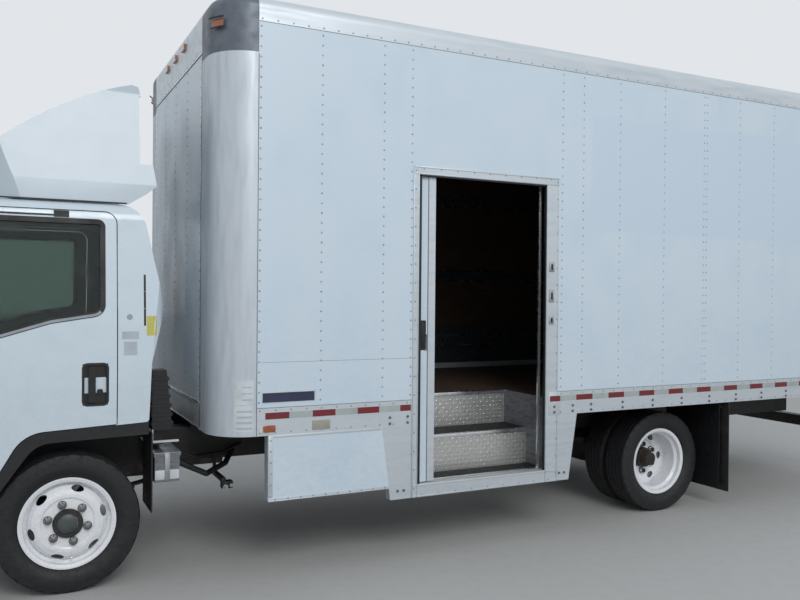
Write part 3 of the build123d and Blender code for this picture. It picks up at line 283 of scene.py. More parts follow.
def add_node(tree, kind, inputs=None, **settings):
    """Shader node. Each input takes a value, or the output that feeds it."""
    node = tree.nodes.new("ShaderNode" + kind)
    for name, value in settings.items():
        setattr(node, name, value)
    for label, value in (inputs or {}).items():
        if isinstance(value, bpy.types.NodeSocket):
            tree.links.new(value, node.inputs[label])
        else:
            node.inputs[label].default_value = value
    return node


def calculate(tree, operation, first, second, **settings):
    """Value output of a sum, a product or another operation."""
    return add_node(tree, "Math", {0: first, 1: second}, operation=operation, **settings).outputs["Value"]


def map_range(tree, value, **ends):
    """Value output that is stretched between ends such as From_Min and To_Max."""
    inputs = {label.replace("_", " "): end for label, end in ends.items()}
    return add_node(tree, "MapRange", {"Value": value, **inputs}).outputs["Result"]


def object_place(tree):
    """Output with the Object coordinates."""
    return add_node(tree, "TexCoord").outputs["Object"]


def new_group(name, inputs, outputs):
    """Empty shader group with inputs {name: value} and outputs {name: kind}."""
    group = bpy.data.node_groups.new(name, "ShaderNodeTree")
    for label, value in inputs.items():
        kind = FLOAT if isinstance(value, float) else VECTOR
        socket = group.interface.new_socket(name=label, in_out="INPUT", socket_type=kind)
        socket.default_value = value
    for label, kind in outputs.items():
        group.interface.new_socket(name=label, in_out="OUTPUT", socket_type=kind)
    given, out = group.nodes.new("NodeGroupInput"), group.nodes.new("NodeGroupOutput")
    return group, given.outputs, out.inputs


def stretched_noise(group, given, detail):
    """Noise over Object coordinates that are multiplied by the group's Stretch."""
    inputs = {0: object_place(group), 1: given["Stretch"]}
    stretch = add_node(group, "VectorMath", inputs, operation="MULTIPLY")
    noise = add_node(group, "TexNoise", {"Vector": stretch.outputs["Vector"], "Detail": detail})
    return noise.outputs["Fac"]


def mottle_group():
    """Slow changes of tone: 0 where the finish is plain and 1 where it is most changed."""
    group, given, out = new_group("mottle", {"Stretch": (3, 3, 3), "Low": 0.35, "High": 0.7}, {"Mask": FLOAT})
    noise = stretched_noise(group, given, 6.0)
    group.links.new(map_range(group, noise, From_Min=given["Low"], From_Max=given["High"]), out["Mask"])
    return group


def dust_group():
    """Road dust: most near the ground, least at the given height, broken up by noise."""
    inputs = {"Stretch": (5, 5, 9), "Bottom": 0.2, "Top": 1.4, "Amount": 0.5}
    group, given, out = new_group("dust", inputs, {"Mask": FLOAT})
    height = add_node(group, "SeparateXYZ", {"Vector": object_place(group)}).outputs["Z"]
    fade = map_range(group, height, From_Min=given["Bottom"], From_Max=given["Top"], To_Min=1.0, To_Max=0.0)
    rough = map_range(group, stretched_noise(group, given, 8.0), From_Min=0.35, From_Max=0.75)
    joined = calculate(group, "MULTIPLY", fade, rough)
    group.links.new(calculate(group, "MULTIPLY", joined, given["Amount"]), out["Mask"])
    return group


def relief_group():
    """Fine surface relief: a normal, and the height that made it."""
    inputs = {"Stretch": (300, 300, 300), "Strength": 0.1, "Depth": 0.001}
    group, given, out = new_group("relief", inputs, {"Normal": VECTOR, "Height": FLOAT})
    noise = stretched_noise(group, given, 3.0)
    bump = add_node(group, "Bump", {"Height": noise, "Strength": given["Strength"],
                                    "Distance": given["Depth"]})
    group.links.new(bump.outputs["Normal"], out["Normal"])
    group.links.new(noise, out["Height"])
    return group


MOTTLE, DUST, RELIEF = mottle_group(), dust_group(), relief_group()
print("shared groups:", MOTTLE.name, DUST.name, RELIEF.name)

# %% [markdown]
# ## Finishes
#
# A finish starts from one Principled shader. Its colour is the clean colour, mixed towards a
# second colour by the mottle and towards dust by the dust mask. The same masks raise the
# roughness, because dirty paint is also duller. The relief gives the normal. What is the same
# all over, such as the metallic value of a metal, is set on the shader's own socket.

# %% Helpers that build a finish
FINISHES = {}
ROAD_DUST = (0.30, 0.27, 0.24)
COAT_ROUGHNESS = 0.08


def triple(value):
    """Three numbers, from three or from one."""
    return value if isinstance(value, tuple) else (value, value, value)


def place_group(tree, group, **values):
    """Put a shared group in a material and set its inputs."""
    return add_node(tree, "Group", values, node_tree=group).outputs


def blend_colour(tree, first, second, mask):
    """Mix between two colours or colour outputs, driven by a mask output."""
    ends = [colour if isinstance(colour, bpy.types.NodeSocket) else (*colour, 1)
            for colour in (first, second)]
    mix = add_node(tree, "Mix", {"A": ends[0], "B": ends[1], "Factor": mask}, data_type="RGBA")
    return mix.outputs["Result"]


def make_finish(name, colour, second, rough, worn_rough, metallic=0.0, coat=0.0, patches=2,
                window=(0.42, 0.72), dust=0.3, dust_top=1.6, grain=400, strength=0.05, depth=0.0005):
    """Painted, metal, rubber or plastic finish with mottle, dust and relief."""
    material = bpy.data.materials.new(name)
    material.use_nodes = True
    tree = material.node_tree
    shader = tree.nodes["Principled BSDF"].inputs
    shader["Metallic"].default_value = metallic
    shader["Coat Weight"].default_value = coat
    shader["Coat Roughness"].default_value = COAT_ROUGHNESS
    mottle = place_group(tree, MOTTLE, Stretch=triple(patches), Low=window[0], High=window[1])["Mask"]
    grime = place_group(tree, DUST, Amount=dust, Top=dust_top)["Mask"]
    relief = place_group(tree, RELIEF, Stretch=triple(grain), Strength=strength, Depth=depth)["Normal"]
    toned = blend_colour(tree, colour, second, mottle)
    worn = calculate(tree, "ADD", mottle, grime, use_clamp=True)
    tree.links.new(blend_colour(tree, toned, ROAD_DUST, grime), shader["Base Color"])
    tree.links.new(map_range(tree, worn, To_Min=rough, To_Max=worn_rough), shader["Roughness"])
    tree.links.new(relief, shader["Normal"])
    FINISHES[name] = material
    return tree, shader


def cover_colour(tree, shader, colour, mask):
    """Lay one more colour over what a finish has so far."""
    before = shader["Base Color"].links[0].from_socket
    tree.links.new(blend_colour(tree, before, colour, mask), shader["Base Color"])


print("finish helpers are ready")

# %% [markdown]
# ## The truck's paints, metals and plastics
#
# The cab has gloss paint and the body panels are satin. Both are white but look a little blue,
# because they mirror the open sky. Mill-finish aluminium is grey with darker, duller blotches
# and a fine grain along each rail. The frame is black paint under a film of brown dust, and the
# tyres are a dark grey that is never quite black.

# %% Paints and bare metals
make_finish("cab_white", (0.60, 0.69, 0.76), (0.56, 0.65, 0.72), 0.22, 0.42, coat=0.6, dust=0.25,
            dust_top=1.3)
make_finish("body_white", (0.60, 0.70, 0.78), (0.55, 0.66, 0.75), 0.34, 0.5, coat=0.15,
            patches=(0.7, 0.7, 0.5), dust=0.16, dust_top=2.0)
make_finish("fairing_white", (0.46, 0.54, 0.60), (0.45, 0.53, 0.59), 0.30, 0.34, coat=0.4, dust=0.1,
            dust_top=1.3)
make_finish("wheel_white", (0.83, 0.85, 0.88), (0.74, 0.75, 0.77), 0.30, 0.5, coat=0.3, patches=16,
            dust=0.12, dust_top=1.0)
make_finish("aluminium", (0.62, 0.67, 0.71), (0.54, 0.59, 0.63), 0.38, 0.54, metallic=0.5,
            patches=(0.7, 5, 5), dust=0.14, grain=(8, 500, 500), strength=0.10)
make_finish("post_aluminium", (0.56, 0.61, 0.66), (0.48, 0.53, 0.58), 0.42, 0.58, metallic=0.3,
            patches=(5, 5, 0.7), dust=0.1, grain=(500, 500, 8), strength=0.10)
make_finish("cast_grey", (0.135, 0.155, 0.185), (0.115, 0.130, 0.155), 0.42, 0.6, metallic=0.35, patches=3,
            dust=0.1, grain=160, strength=0.12)
make_finish("tread_plate", (0.60, 0.60, 0.57), (0.50, 0.50, 0.48), 0.32, 0.5, metallic=0.75, patches=6,
            dust=0.2, dust_top=1.1)
make_finish("chassis_black", (0.011, 0.011, 0.012), (0.022, 0.020, 0.019), 0.5, 0.8, dust=0.10, patches=9,
            dust_top=1.0, grain=90, strength=0.2)
make_finish("galvanised", (0.10, 0.11, 0.13), (0.07, 0.08, 0.09), 0.42, 0.62, metallic=0.7, patches=14,
            dust=0.1)
make_finish("engine_iron", (0.10, 0.10, 0.11), (0.06, 0.045, 0.035), 0.6, 0.85, metallic=0.4, grain=120,
            strength=0.3)
make_finish("exhaust_steel", (0.22, 0.19, 0.17), (0.16, 0.09, 0.05), 0.5, 0.85, metallic=0.6, patches=7)
make_finish("scuff_sheet", (0.040, 0.048, 0.060), (0.024, 0.028, 0.034), 0.5, 0.7, metallic=0.2,
            patches=(2, 2, 12), dust=0.0)
make_finish("mirror_silver", (0.80, 0.82, 0.84), (0.76, 0.78, 0.80), 0.03, 0.06, metallic=1.0, dust=0.03)
make_finish("chrome", (0.50, 0.51, 0.52), (0.32, 0.33, 0.34), 0.22, 0.45, metallic=0.95, patches=30,
            dust=0.2)
make_finish("nut_grey", (0.22, 0.225, 0.23), (0.13, 0.13, 0.135), 0.35, 0.6, metallic=0.8, patches=60,
            dust=0.15)
make_finish("cap_grey", (0.085, 0.100, 0.102), (0.055, 0.065, 0.066), 0.4, 0.6, metallic=0.4, dust=0.06)
make_finish("rusty_iron", (0.020, 0.015, 0.014), (0.042, 0.026, 0.019), 0.6, 0.85, metallic=0.2, patches=25,
            dust=0.06, grain=300, strength=0.4)
make_finish("rivet_grey", (0.40, 0.45, 0.50), (0.26, 0.29, 0.33), 0.4, 0.6, metallic=0.5, dust=0.1)
make_finish("zinc", (0.50, 0.51, 0.52), (0.30, 0.30, 0.30), 0.3, 0.5, metallic=0.9, dust=0.2)
make_finish("sheet_grey", (0.20, 0.21, 0.23), (0.11, 0.12, 0.13), 0.4, 0.6, metallic=0.4,
            patches=(3, 3, 9), dust=0.2)
make_finish("bright_edge", (0.74, 0.75, 0.76), (0.56, 0.57, 0.58), 0.22, 0.4, metallic=0.95, dust=0.1)
print("metal and paint finishes:", len(FINISHES))

# %% Plastics, rubber, cloth, tape and labels
make_finish("black_plastic", (0.0065, 0.0072, 0.0090), (0.0115, 0.0122, 0.0145), 0.42, 0.65, dust=0.03,
            patches=9, grain=700, strength=0.18)
make_finish("cab_trim", (0.07, 0.072, 0.078), (0.05, 0.05, 0.055), 0.55, 0.75, dust=0.0, grain=900,
            strength=0.25)
make_finish("seat_cloth", (0.045, 0.047, 0.055), (0.03, 0.031, 0.037), 0.85, 0.95, dust=0.0, grain=1500,
            strength=0.5)
make_finish("tyre", (0.0062, 0.0068, 0.0090), (0.0100, 0.0105, 0.0125), 0.58, 0.8, dust=0.045, dust_top=0.8,
            patches=9, grain=260, strength=0.12)
make_finish("rubber_black", (0.006, 0.006, 0.007), (0.010, 0.010, 0.011), 0.45, 0.7, dust=0.04)
make_finish("moulding_grey", (0.30, 0.34, 0.37), (0.24, 0.27, 0.30), 0.4, 0.55, dust=0.1)
make_finish("seam_grey", (0.16, 0.18, 0.20), (0.11, 0.12, 0.14), 0.5, 0.7, dust=0.1)
make_finish("reflector_beige", (0.34, 0.33, 0.28), (0.27, 0.26, 0.22), 0.3, 0.5, coat=0.4, dust=0.2)
make_finish("tape_red", (0.17, 0.006, 0.012), (0.12, 0.006, 0.010), 0.3, 0.55, coat=0.4, dust=0.06,
            grain=900,
            strength=0.3)
make_finish("tape_white", (0.40, 0.45, 0.45), (0.32, 0.36, 0.36), 0.3, 0.55, coat=0.4, dust=0.1, grain=900,
            strength=0.3)
make_finish("badge_navy", (0.010, 0.016, 0.060), (0.016, 0.022, 0.070), 0.3, 0.5, coat=0.5, dust=0.1)
make_finish("label_white", (0.62, 0.67, 0.70), (0.50, 0.54, 0.56), 0.45, 0.6, dust=0.2)
make_finish("label_grey", (0.44, 0.49, 0.54), (0.39, 0.43, 0.47), 0.5, 0.6, dust=0.2)
make_finish("label_yellow", (0.55, 0.50, 0.10), (0.46, 0.42, 0.10), 0.4, 0.6, dust=0.1)
print("plain finishes:", len(FINISHES))

# %% [markdown]
# ## Finishes that need more than the plain recipe
#
# Glass lets light through and is tinted, so the cab's inside stays dark. Lamp lenses are coloured
# plastic with a clear coat and fine ribs. The floor is wood in planks with a gap between them,
# and the wall lining is plywood with a long grain.

# %% Glass, lamp lenses and wood
GLASS_TINT = (0.22, 0.30, 0.265)
PLANK = 0.145
GAP_COLOUR = (0.02, 0.014, 0.01)


def make_lens(name, colour, deep):
    """Coloured lens plastic with fine upright ribs."""
    shader = make_finish(name, colour, deep, 0.16, 0.3, coat=0.8, dust=0.2, patches=30,
                         grain=(420, 420, 6), strength=0.5, depth=0.002)[1]
    shader["Subsurface Weight"].default_value = 0.15


def make_wood(name, light, dark, grain_way):
    """Wood with a long grain."""
    return make_finish(name, light, dark, 0.55, 0.75, patches=grain_way, window=(0.3, 0.75), dust=0.0,
                       grain=tuple(value * 6 for value in grain_way), strength=0.35)


glass = make_finish("glass", GLASS_TINT, GLASS_TINT, 0.02, 0.14, dust=0.1, dust_top=2.4, strength=0.0)[1]
glass["Transmission Weight"].default_value = 1.0
glass["IOR"].default_value = 1.45
make_lens("amber_lamp", (0.36, 0.085, 0.018), (0.20, 0.042, 0.011))
make_lens("red_lens", (0.42, 0.012, 0.012), (0.20, 0.006, 0.006))
make_lens("clear_lamp", (0.72, 0.74, 0.76), (0.60, 0.62, 0.64))
make_wood("plywood", (0.085, 0.050, 0.032), (0.040, 0.024, 0.017), (0.9, 8, 16))
tree, shader = make_wood("floor_wood", (0.10, 0.062, 0.040), (0.045, 0.029, 0.020), (1.2, 40, 40))
across = add_node(tree, "SeparateXYZ", {"Vector": object_place(tree)}).outputs["Y"]
wrapped = calculate(tree, "PINGPONG", across, PLANK / 2)
cover_colour(tree, shader, GAP_COLOUR, map_range(tree, wrapped, From_Min=0.004, From_Max=0.0))
print("with glass, lenses and wood:", len(FINISHES))

# %% [markdown]
# ## The faded patch
#
# The body's left side has a large patch where a cover once kept the sun off. It is only a
# slightly different tone, with a wavering edge. A mask is 1 inside a rectangle: four ramps, one
# at each side, are multiplied, and noise pushes the coordinates that they are worked out from.

# %% Paint the left side with its faded patch
PATCH_LOW = at(3.60, 0, 2.25)
PATCH_HIGH = at(7.2, 0, 3.12)
PATCH_BLUR = PATCH_WAVER = 0.05
PATCH_COLOUR = (0.575, 0.672, 0.778)


def box_mask(tree):
    """Mask that is 1 inside the patch, with a soft and slightly wavering edge."""
    place = object_place(tree)
    noise = add_node(tree, "TexNoise", {"Vector": place, "Scale": 2.2, "Detail": 6.0}).outputs["Color"]
    inputs = {0: noise, 1: triple(PATCH_WAVER), 2: place}
    pushed = add_node(tree, "VectorMath", inputs, operation="MULTIPLY_ADD")
    apart = add_node(tree, "SeparateXYZ", {"Vector": pushed.outputs["Vector"]}).outputs
    mask = None
    for axis in ("X", "Z"):
        n = "XYZ".index(axis)
        for limit, reach in ((PATCH_LOW[n], PATCH_BLUR / 2), (PATCH_HIGH[n], -PATCH_BLUR / 2)):
            side = map_range(tree, apart[axis], From_Min=limit - reach, From_Max=limit + reach)
            mask = calculate(tree, "MULTIPLY", mask, side) if mask else side
    return mask


tree, shader = make_finish("side_white", (0.60, 0.70, 0.78), (0.56, 0.67, 0.76), 0.34, 0.5, coat=0.15,
                           patches=(0.7, 0.7, 0.5), dust=0.16, dust_top=2.0)
cover_colour(tree, shader, PATCH_COLOUR, box_mask(tree))
print("faded patch from", [round(v, 2) for v in PATCH_LOW], "to", [round(v, 2) for v in PATCH_HIGH])

# %% Give every piece of the frame its finish
NODE_FINISH = {"box_left_wall": "side_white", "corner_caps": "cast_grey", "battery_box": "sheet_grey",
               "roof_fairing": "fairing_white", "corner_posts": "post_aluminium"}
for part in frame["record"]["subparts"]:
    mesh = frame["nodes"][part["node"]].data
    mesh.materials.clear()
    mesh.materials.append(FINISHES[NODE_FINISH.get(part["node"], part["material_slot"])])

# %% [markdown]
# ## The floor, the lamp and the sky
#
# The truck stands on a plain pale floor that fades into a pale sky. The sky gives most of the
# light, as on a bright overcast day, and one large soft lamp from the left front shapes the cab
# and puts a soft shadow under the truck. What the camera and the mirroring paint see of the sky
# is a little paler than the light it gives.

# %% Light the scene
SKY_LIGHT = (0.90, 0.95, 1.0, 1)
SKY_SEEN = (0.76, 0.79, 0.82, 1)
SKY_STRENGTH = 0.62
FLOOR_COLOUR = (0.46, 0.46, 0.45)
FLOOR_HALF = 60
KEY_PLACE = at(1.0, -13.5, 10)
KEY_AIM = at(2.5, 0, 1.2)
KEY_SIZE = 8
KEY_POWER = 900


def build_sky():
    """World that lights the truck with one colour and shows another."""
    world = bpy.context.scene.world = bpy.data.worlds.new("sky")
    world.use_nodes = True
    tree = world.node_tree
    tree.nodes.clear()
    light = add_node(tree, "Background", {"Color": SKY_LIGHT, "Strength": SKY_STRENGTH})
    seen = add_node(tree, "Background", {"Color": SKY_SEEN})
    path = add_node(tree, "LightPath").outputs
    either = calculate(tree, "MAXIMUM", path["Is Camera Ray"], path["Is Glossy Ray"])
    either = calculate(tree, "MAXIMUM", either, path["Is Transmission Ray"])
    mix = add_node(tree, "MixShader", {"Fac": either, 1: light.outputs[0], 2: seen.outputs[0]})
    add_node(tree, "OutputWorld", {"Surface": mix.outputs[0]})


def build_floor():
    """Pale floor with a faint grain."""
    bm = bmesh.new()
    bmesh.ops.create_grid(bm, x_segments=1, y_segments=1, size=FLOOR_HALF)
    mesh = bpy.data.meshes.new("floor")
    bm.to_mesh(mesh)
    bm.free()
    floor = add_object("floor", mesh)
    make_finish("floor", FLOOR_COLOUR, tuple(v * 0.96 for v in FLOOR_COLOUR), 0.8, 0.9, dust=0.0,
                grain=60, strength=0.1)
    mesh.materials.append(FINISHES["floor"])


build_sky()
build_floor()
key = add_object("key", bpy.data.lights.new("key", "AREA"))
key.data.shape = "DISK"
key.data.size = KEY_SIZE
key.data.energy = KEY_POWER
key.location = KEY_PLACE
key.rotation_euler = (KEY_AIM - KEY_PLACE).to_track_quat("-Z", "Y").to_euler()
print("sky, floor and one lamp are in place")

# %% [markdown]
# ## Rivets
#
# The body's skin is riveted to posts inside the walls. The rivets stand in upright columns that
# match those posts, closer together along the edges of each sheet, and in rows along the rails.
# Each rivet is a low eight-sided dome, and all of them make one mesh.

# %% Rivet the body
RIVET_R = 0.0075
RIVET_PROUD = 0.0032
COLUMN_PITCH = 0.062
ROW_PITCH = 0.098
SIDE_COLUMNS = (1.044, 1.440, 1.868, 2.073, 3.307, 3.499, 3.848, 4.299, 4.725, 4.757, 5.130, 5.539,
                5.948, 6.357, 6.766)


def add_row(bm, start, end, pitch, axis="Y", way=-1):
    """Row of low domes between two places, facing along an axis, with their bases in the sheet."""
    start, end = at(*start), at(*end)
    outward = AXES[axis] * way
    count = max(1, round((end - start).length / pitch))
    for n in range(count + 1):
        place = start.lerp(end, n / count)
        add_bar(bm, place - outward * 0.001, place + outward * RIVET_PROUD, RIVET_R, 8, RIVET_R * 0.45)


bm = bmesh.new()
for side in (-1, 1):
    y = side * WALL_Y
    for x in SIDE_COLUMNS:
        above_door = side < 0 and 2.08 < x < 3.29
        low = DOOR_TOP + 0.03 if above_door else RAIL_SEAM + 0.035
        add_row(bm, (x, y, low), (x, y, ROOF_SEAM - 0.03), COLUMN_PITCH, "Y", side)
    for start, end in ((1.05, 2.05), (3.31, 6.78)) if side < 0 else ((1.05, 6.78),):
        for z in (RAIL_SEAM - 0.016, RAIL_LOW + 0.018):
            add_row(bm, (start, y, z), (end, y, z), ROW_PITCH, "Y", side)
    add_row(bm, (1.05, y, ROOF_SEAM + 0.016), (6.78, y, ROOF_SEAM + 0.016), ROW_PITCH, "Y", side)
finish_piece("side_rivets", bm, "chassis", "rivet_grey", weld=0)

# %% Rivet the door frame and the front wall
bm = bmesh.new()
for x in (2.100, 3.262):
    add_row(bm, (x, FRAME_Y, 0.46), (x, FRAME_Y, DOOR_TOP - 0.03), 0.125)
for z in (DOOR_TOP - 0.014, 0.418):
    add_row(bm, (2.16, FRAME_Y, z), (3.20, FRAME_Y, z), 0.125)
for y in (-0.80, -0.40, 0.0, 0.40, 0.80):
    add_row(bm, (FRONT_X, y, RAIL_SEAM + 0.04), (FRONT_X, y, 3.23), COLUMN_PITCH, "X")
for z in (RAIL_SEAM - 0.018, 3.27):
    add_row(bm, (FRONT_X, -0.80, z), (FRONT_X, 0.80, z), ROW_PITCH, "X")
finish_piece("frame_rivets", bm, "chassis", "rivet_grey", weld=0)

# %% [markdown]
# ## Rail hardware
#
# The bottom rail carries red and white marking tape in blocks six inches long, an amber side
# lamp, a pale reflector and pairs of bolts. The tape is a film, so its blocks are less than a
# millimetre thick.

# %% Marking tape
TAPE_BLOCK = 0.1524
TAPE_LOW, TAPE_HIGH = 0.980, 1.020
RAIL_END = 3.197
END_FACE = FRAME_Y - 0.003


def add_tape(first, second, start, end, side):
    """Blocks from one place along the rail to another, in two colours by turns."""
    x, y = start, side * WALL_Y
    while x < end - 0.01:
        stop = min(x + TAPE_BLOCK, end)
        add_box(first, at(x, y, TAPE_LOW), at(stop, y + side * 0.0008, TAPE_HIGH))
        x, first, second = stop, second, first


red, white = bmesh.new(), bmesh.new()
add_tape(red, white, 1.085, 2.078, -1)
add_tape(white, red, 3.2985, 6.79, -1)
add_tape(red, white, 1.085, 6.79, 1)
add_box(red, at(RAIL_END + 0.008, END_FACE - 0.0008, TAPE_LOW), at(3.2975, END_FACE, TAPE_HIGH))
finish_piece("tape_red", red, "chassis", "tape_red", weld=0)
finish_piece("tape_white", white, "chassis", "tape_white", weld=0)
box_piece("rail_end", "aluminium", [
    (RAIL_END, END_FACE, RAIL_LOW + 0.001, 3.300, -WALL_Y + 0.001, RAIL_SEAM - 0.001, 0.0012)])


# %% Side lamp, reflector and badge plate
def side_plate(name, slot, low, high, radius, proud, round_off=0.0, both=False):
    """Flat plate on the left wall, between two corners (x, z)."""
    bm = bmesh.new()
    outline = rounded((low[0] + AXLE_X, low[1]), (high[0] + AXLE_X, high[1]), radius)
    add_plate(bm, outline, "Y", -WALL_Y - proud, -WALL_Y, round_off)
    if both:
        mirrored(bm)
    finish_piece(name, bm, "chassis", slot)


side_plate("side_lamp_lens", "amber_lamp", (1.080, 0.902), (1.148, 0.944), 0.006, 0.007, 0.002)
side_plate("side_lamp_clip", "label_white", (1.046, 0.903), (1.074, 0.943), 0.008, 0.004)
side_plate("side_reflectors", "reflector_beige", (1.388, 0.899), (1.505, 0.957), 0.006, 0.005, 0.0015, True)
side_plate("badge_plate", "label_white", (1.063, 1.080), (1.414, 1.150), 0.010, 0.0022)
side_plate("badge_field", "badge_navy", (1.066, 1.083), (1.400, 1.141), 0.004, 0.0026)

# %% Labels on the corner post
POST_R = 0.255
POST_CENTRE = at(1.030, -(WALL_Y - POST_R), 0)


def add_on_post(bm, low_angle, high_angle, low, high, proud=0.0006, steps=8):
    """Sheet that is bent round the left corner post, between two angles and two heights."""
    outer = []
    for n in range(steps + 1):
        angle = math.radians(low_angle + (high_angle - low_angle) * n / steps)
        outer.append((POST_CENTRE.x - math.sin(angle) * (POST_R + proud),
                      POST_CENTRE.y - math.cos(angle) * (POST_R + proud)))
    inner = [(POST_CENTRE.x + (x - POST_CENTRE.x) * 0.997, POST_CENTRE.y + (y - POST_CENTRE.y) * 0.997)
             for x, y in reversed(outer)]
    add_plate(bm, outer + inner, "Z", low, high)


bm = bmesh.new()
add_on_post(bm, 4, 30, 1.075, 1.222)
add_on_post(bm, 4, 30, 0.912, 1.068)
finish_piece("post_labels", bm, "chassis", "label_white")
bm = bmesh.new()
for n in range(4):
    add_on_post(bm, 6, 27, 0.925 + n * 0.034, 0.938 + n * 0.034, 0.0009)
for n in range(3):
    add_on_post(bm, 6, 20, 1.100 + n * 0.038, 1.108 + n * 0.038, 0.0009)
finish_piece("post_label_bars", bm, "chassis", "label_grey")

# %% Bolts along the rail
BOLTS = [(3.345, 0.455), (3.30, 0.455), (1.985, 0.455), (2.03, 0.455)]
for x in [1.925, 2.055, 3.245, 3.42] + [3.59 + n * 2 * TAPE_BLOCK for n in range(11)]:
    BOLTS += [(x, 0.942), (x, 0.902)]
rows = []
for x, z in BOLTS:
    face = END_FACE if RAIL_END < x < 3.30 and z > 0.6 else -WALL_Y
    rows.append((x, face + 0.001, z, x, face - 0.003, z, 0.0095, 12))
    rows.append((x, face - 0.003, z, x, face - 0.008, z, 0.0065, 6))
bar_piece("rail_bolts", "nut_grey", rows)

# %% [markdown]
# ## The side door
#
# The leaf is white with a bright aluminium edge, and a black pull handle is let into it. Black
# seals line the opening, and the black strip at the front jamb is also painted shadow in the gap
# between the jamb and the leaf. The strip behind the opening carries the lock's keeper and two striker
# plates. Only thin plates go on the leaf's face, because it slides through a narrow slot.

# %% Leaf edge, handle, and seals with painted shade
LEAF_LOW, LEAF_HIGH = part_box("side_door")
LEAF_END = LEAF_HIGH.x - AXLE_X
LEAF_Y = LEAF_LOW.y
OPEN_LOW, OPEN_HIGH = 0.489, 2.545
SEAL_AND_SHADE_IN = -1.2055

box_piece("leaf_edge", "aluminium", [
    (LEAF_END - 0.050, LEAF_Y - 0.0012, LEAF_LOW.z, LEAF_END + 0.0015, LEAF_HIGH.y, LEAF_HIGH.z)],
          "sliding_door")
box_piece("leaf_groove", "seam_grey", [
    (LEAF_END - 0.057, LEAF_Y - 0.0008, LEAF_LOW.z, LEAF_END - 0.049, LEAF_Y, LEAF_HIGH.z)], "sliding_door")
bm = bmesh.new()
add_plate(bm, rounded((LEAF_HIGH.x - 0.112, 1.376), (LEAF_HIGH.x - 0.066, 1.575), 0.010), "Y",
          LEAF_Y - 0.0015, LEAF_Y + 0.001)
add_box(bm, at(LEAF_END - 0.101, LEAF_Y - 0.004, 1.392), at(LEAF_END - 0.077, LEAF_Y + 0.001, 1.559), 0.002)
finish_piece("leaf_handle", bm, "sliding_door", "black_plastic")
# Black strips round the opening: the front upright one is a seal and also painted shadow in the gap between
# the jamb and the leaf, and the rear upright one and the top one are seals.
box_piece("opening_seals_and_shade", "black_plastic", [
    (2.127, FRAME_Y - 0.001, OPEN_LOW, 2.145, SEAL_AND_SHADE_IN, OPEN_HIGH, 0.001),
    (3.155, FRAME_Y - 0.001, OPEN_LOW, 3.165, SEAL_AND_SHADE_IN, OPEN_HIGH, 0.001),
    (2.127, FRAME_Y - 0.001, OPEN_HIGH - 0.012, 3.165, SEAL_AND_SHADE_IN, OPEN_HIGH, 0.001)])
box_piece("jamb_trim", "bright_edge", [
    (3.150, LEAF_HIGH.y + 0.006, OPEN_LOW, 3.167, LEAF_HIGH.y + 0.026, OPEN_HIGH, 0.001)])

# %% Keeper, strikers and the raised bead round the frame
box_piece("lock_plates", "zinc", [(3.190, FRAME_Y - 0.006, low, 3.232, FRAME_Y, high, 0.002)
                                  for low, high in ((1.54, 1.60), (1.70, 1.79), (1.92, 1.99))])
box_piece("lock_slots", "black_plastic", [(3.203, FRAME_Y - 0.0068, low, 3.219, FRAME_Y - 0.004, high)
                                          for low, high in ((1.553, 1.587), (1.72, 1.77), (1.935, 1.975))])
UPRIGHT_BEADS = ((2.085, 0.008), (2.119, 0.006), (3.168, 0.006), (3.267, 0.008))
LEVEL_BEADS = ((DOOR_TOP - 0.010, 0.008), (2.547, 0.006), (0.402, 0.008), (0.474, 0.010))
BEAD_Y = FRAME_Y - 0.0035
box_piece("frame_beads", "aluminium",
          [(x, BEAD_Y, 0.402, x + width, FRAME_Y, DOOR_TOP - 0.002, 0.001) for x, width in UPRIGHT_BEADS] +
          [(2.087, BEAD_Y, z, 3.273, FRAME_Y, z + width, 0.001) for z, width in LEVEL_BEADS])

# %% [markdown]
# ## The steps
#
# The risers are aluminium tread plate with lozenge lugs that lean left and right in turn. Each
# lug is a six-sided pyramid that is cut short and stretched. Bright nosings protect the edges of
# the steps, and a black ribbed mat lies on each tread.

# %% Lugs on the risers
LUG_PITCH = 0.030
LUG_LONG, LUG_WIDE, LUG_PROUD = 0.0125, 0.0034, 0.0022
well_low, well_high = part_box("step_well")
WELL_FRONT = well_low.x + 0.008 - AXLE_X
WELL_BACK = well_high.x - 0.006 - AXLE_X
UPRIGHT = Matrix.Rotation(math.radians(90), 4, "X")


def add_lug(bm, place, lean):
    """Stretched six-sided lug on a riser, leaning to one side."""
    turn = UPRIGHT @ Matrix.Rotation(math.radians(lean), 4, "Z")
    stretch = Matrix.Diagonal((LUG_LONG, LUG_WIDE, 1, 1))
    bmesh.ops.create_cone(bm, cap_ends=True, segments=6, radius1=1, radius2=0.55, depth=LUG_PROUD + 0.0006,
                          matrix=Matrix.Translation(place) @ turn @ stretch)


bm = bmesh.new()
for y, low, high in ((-0.950, 0.502, 0.735), (-0.650, 0.764, 0.992)):
    columns = int((WELL_BACK - WELL_FRONT) / LUG_PITCH)
    for row in range(int((high - low) / LUG_PITCH) + 1):
        for column in range(columns + 1):
            place = at(WELL_FRONT + 0.012 + column * LUG_PITCH, y - LUG_PROUD / 2, low + row * LUG_PITCH)
            add_lug(bm, place, 45 if (row + column) % 2 else -45)
finish_piece("riser_lugs", bm, "chassis", "bright_edge", weld=0)

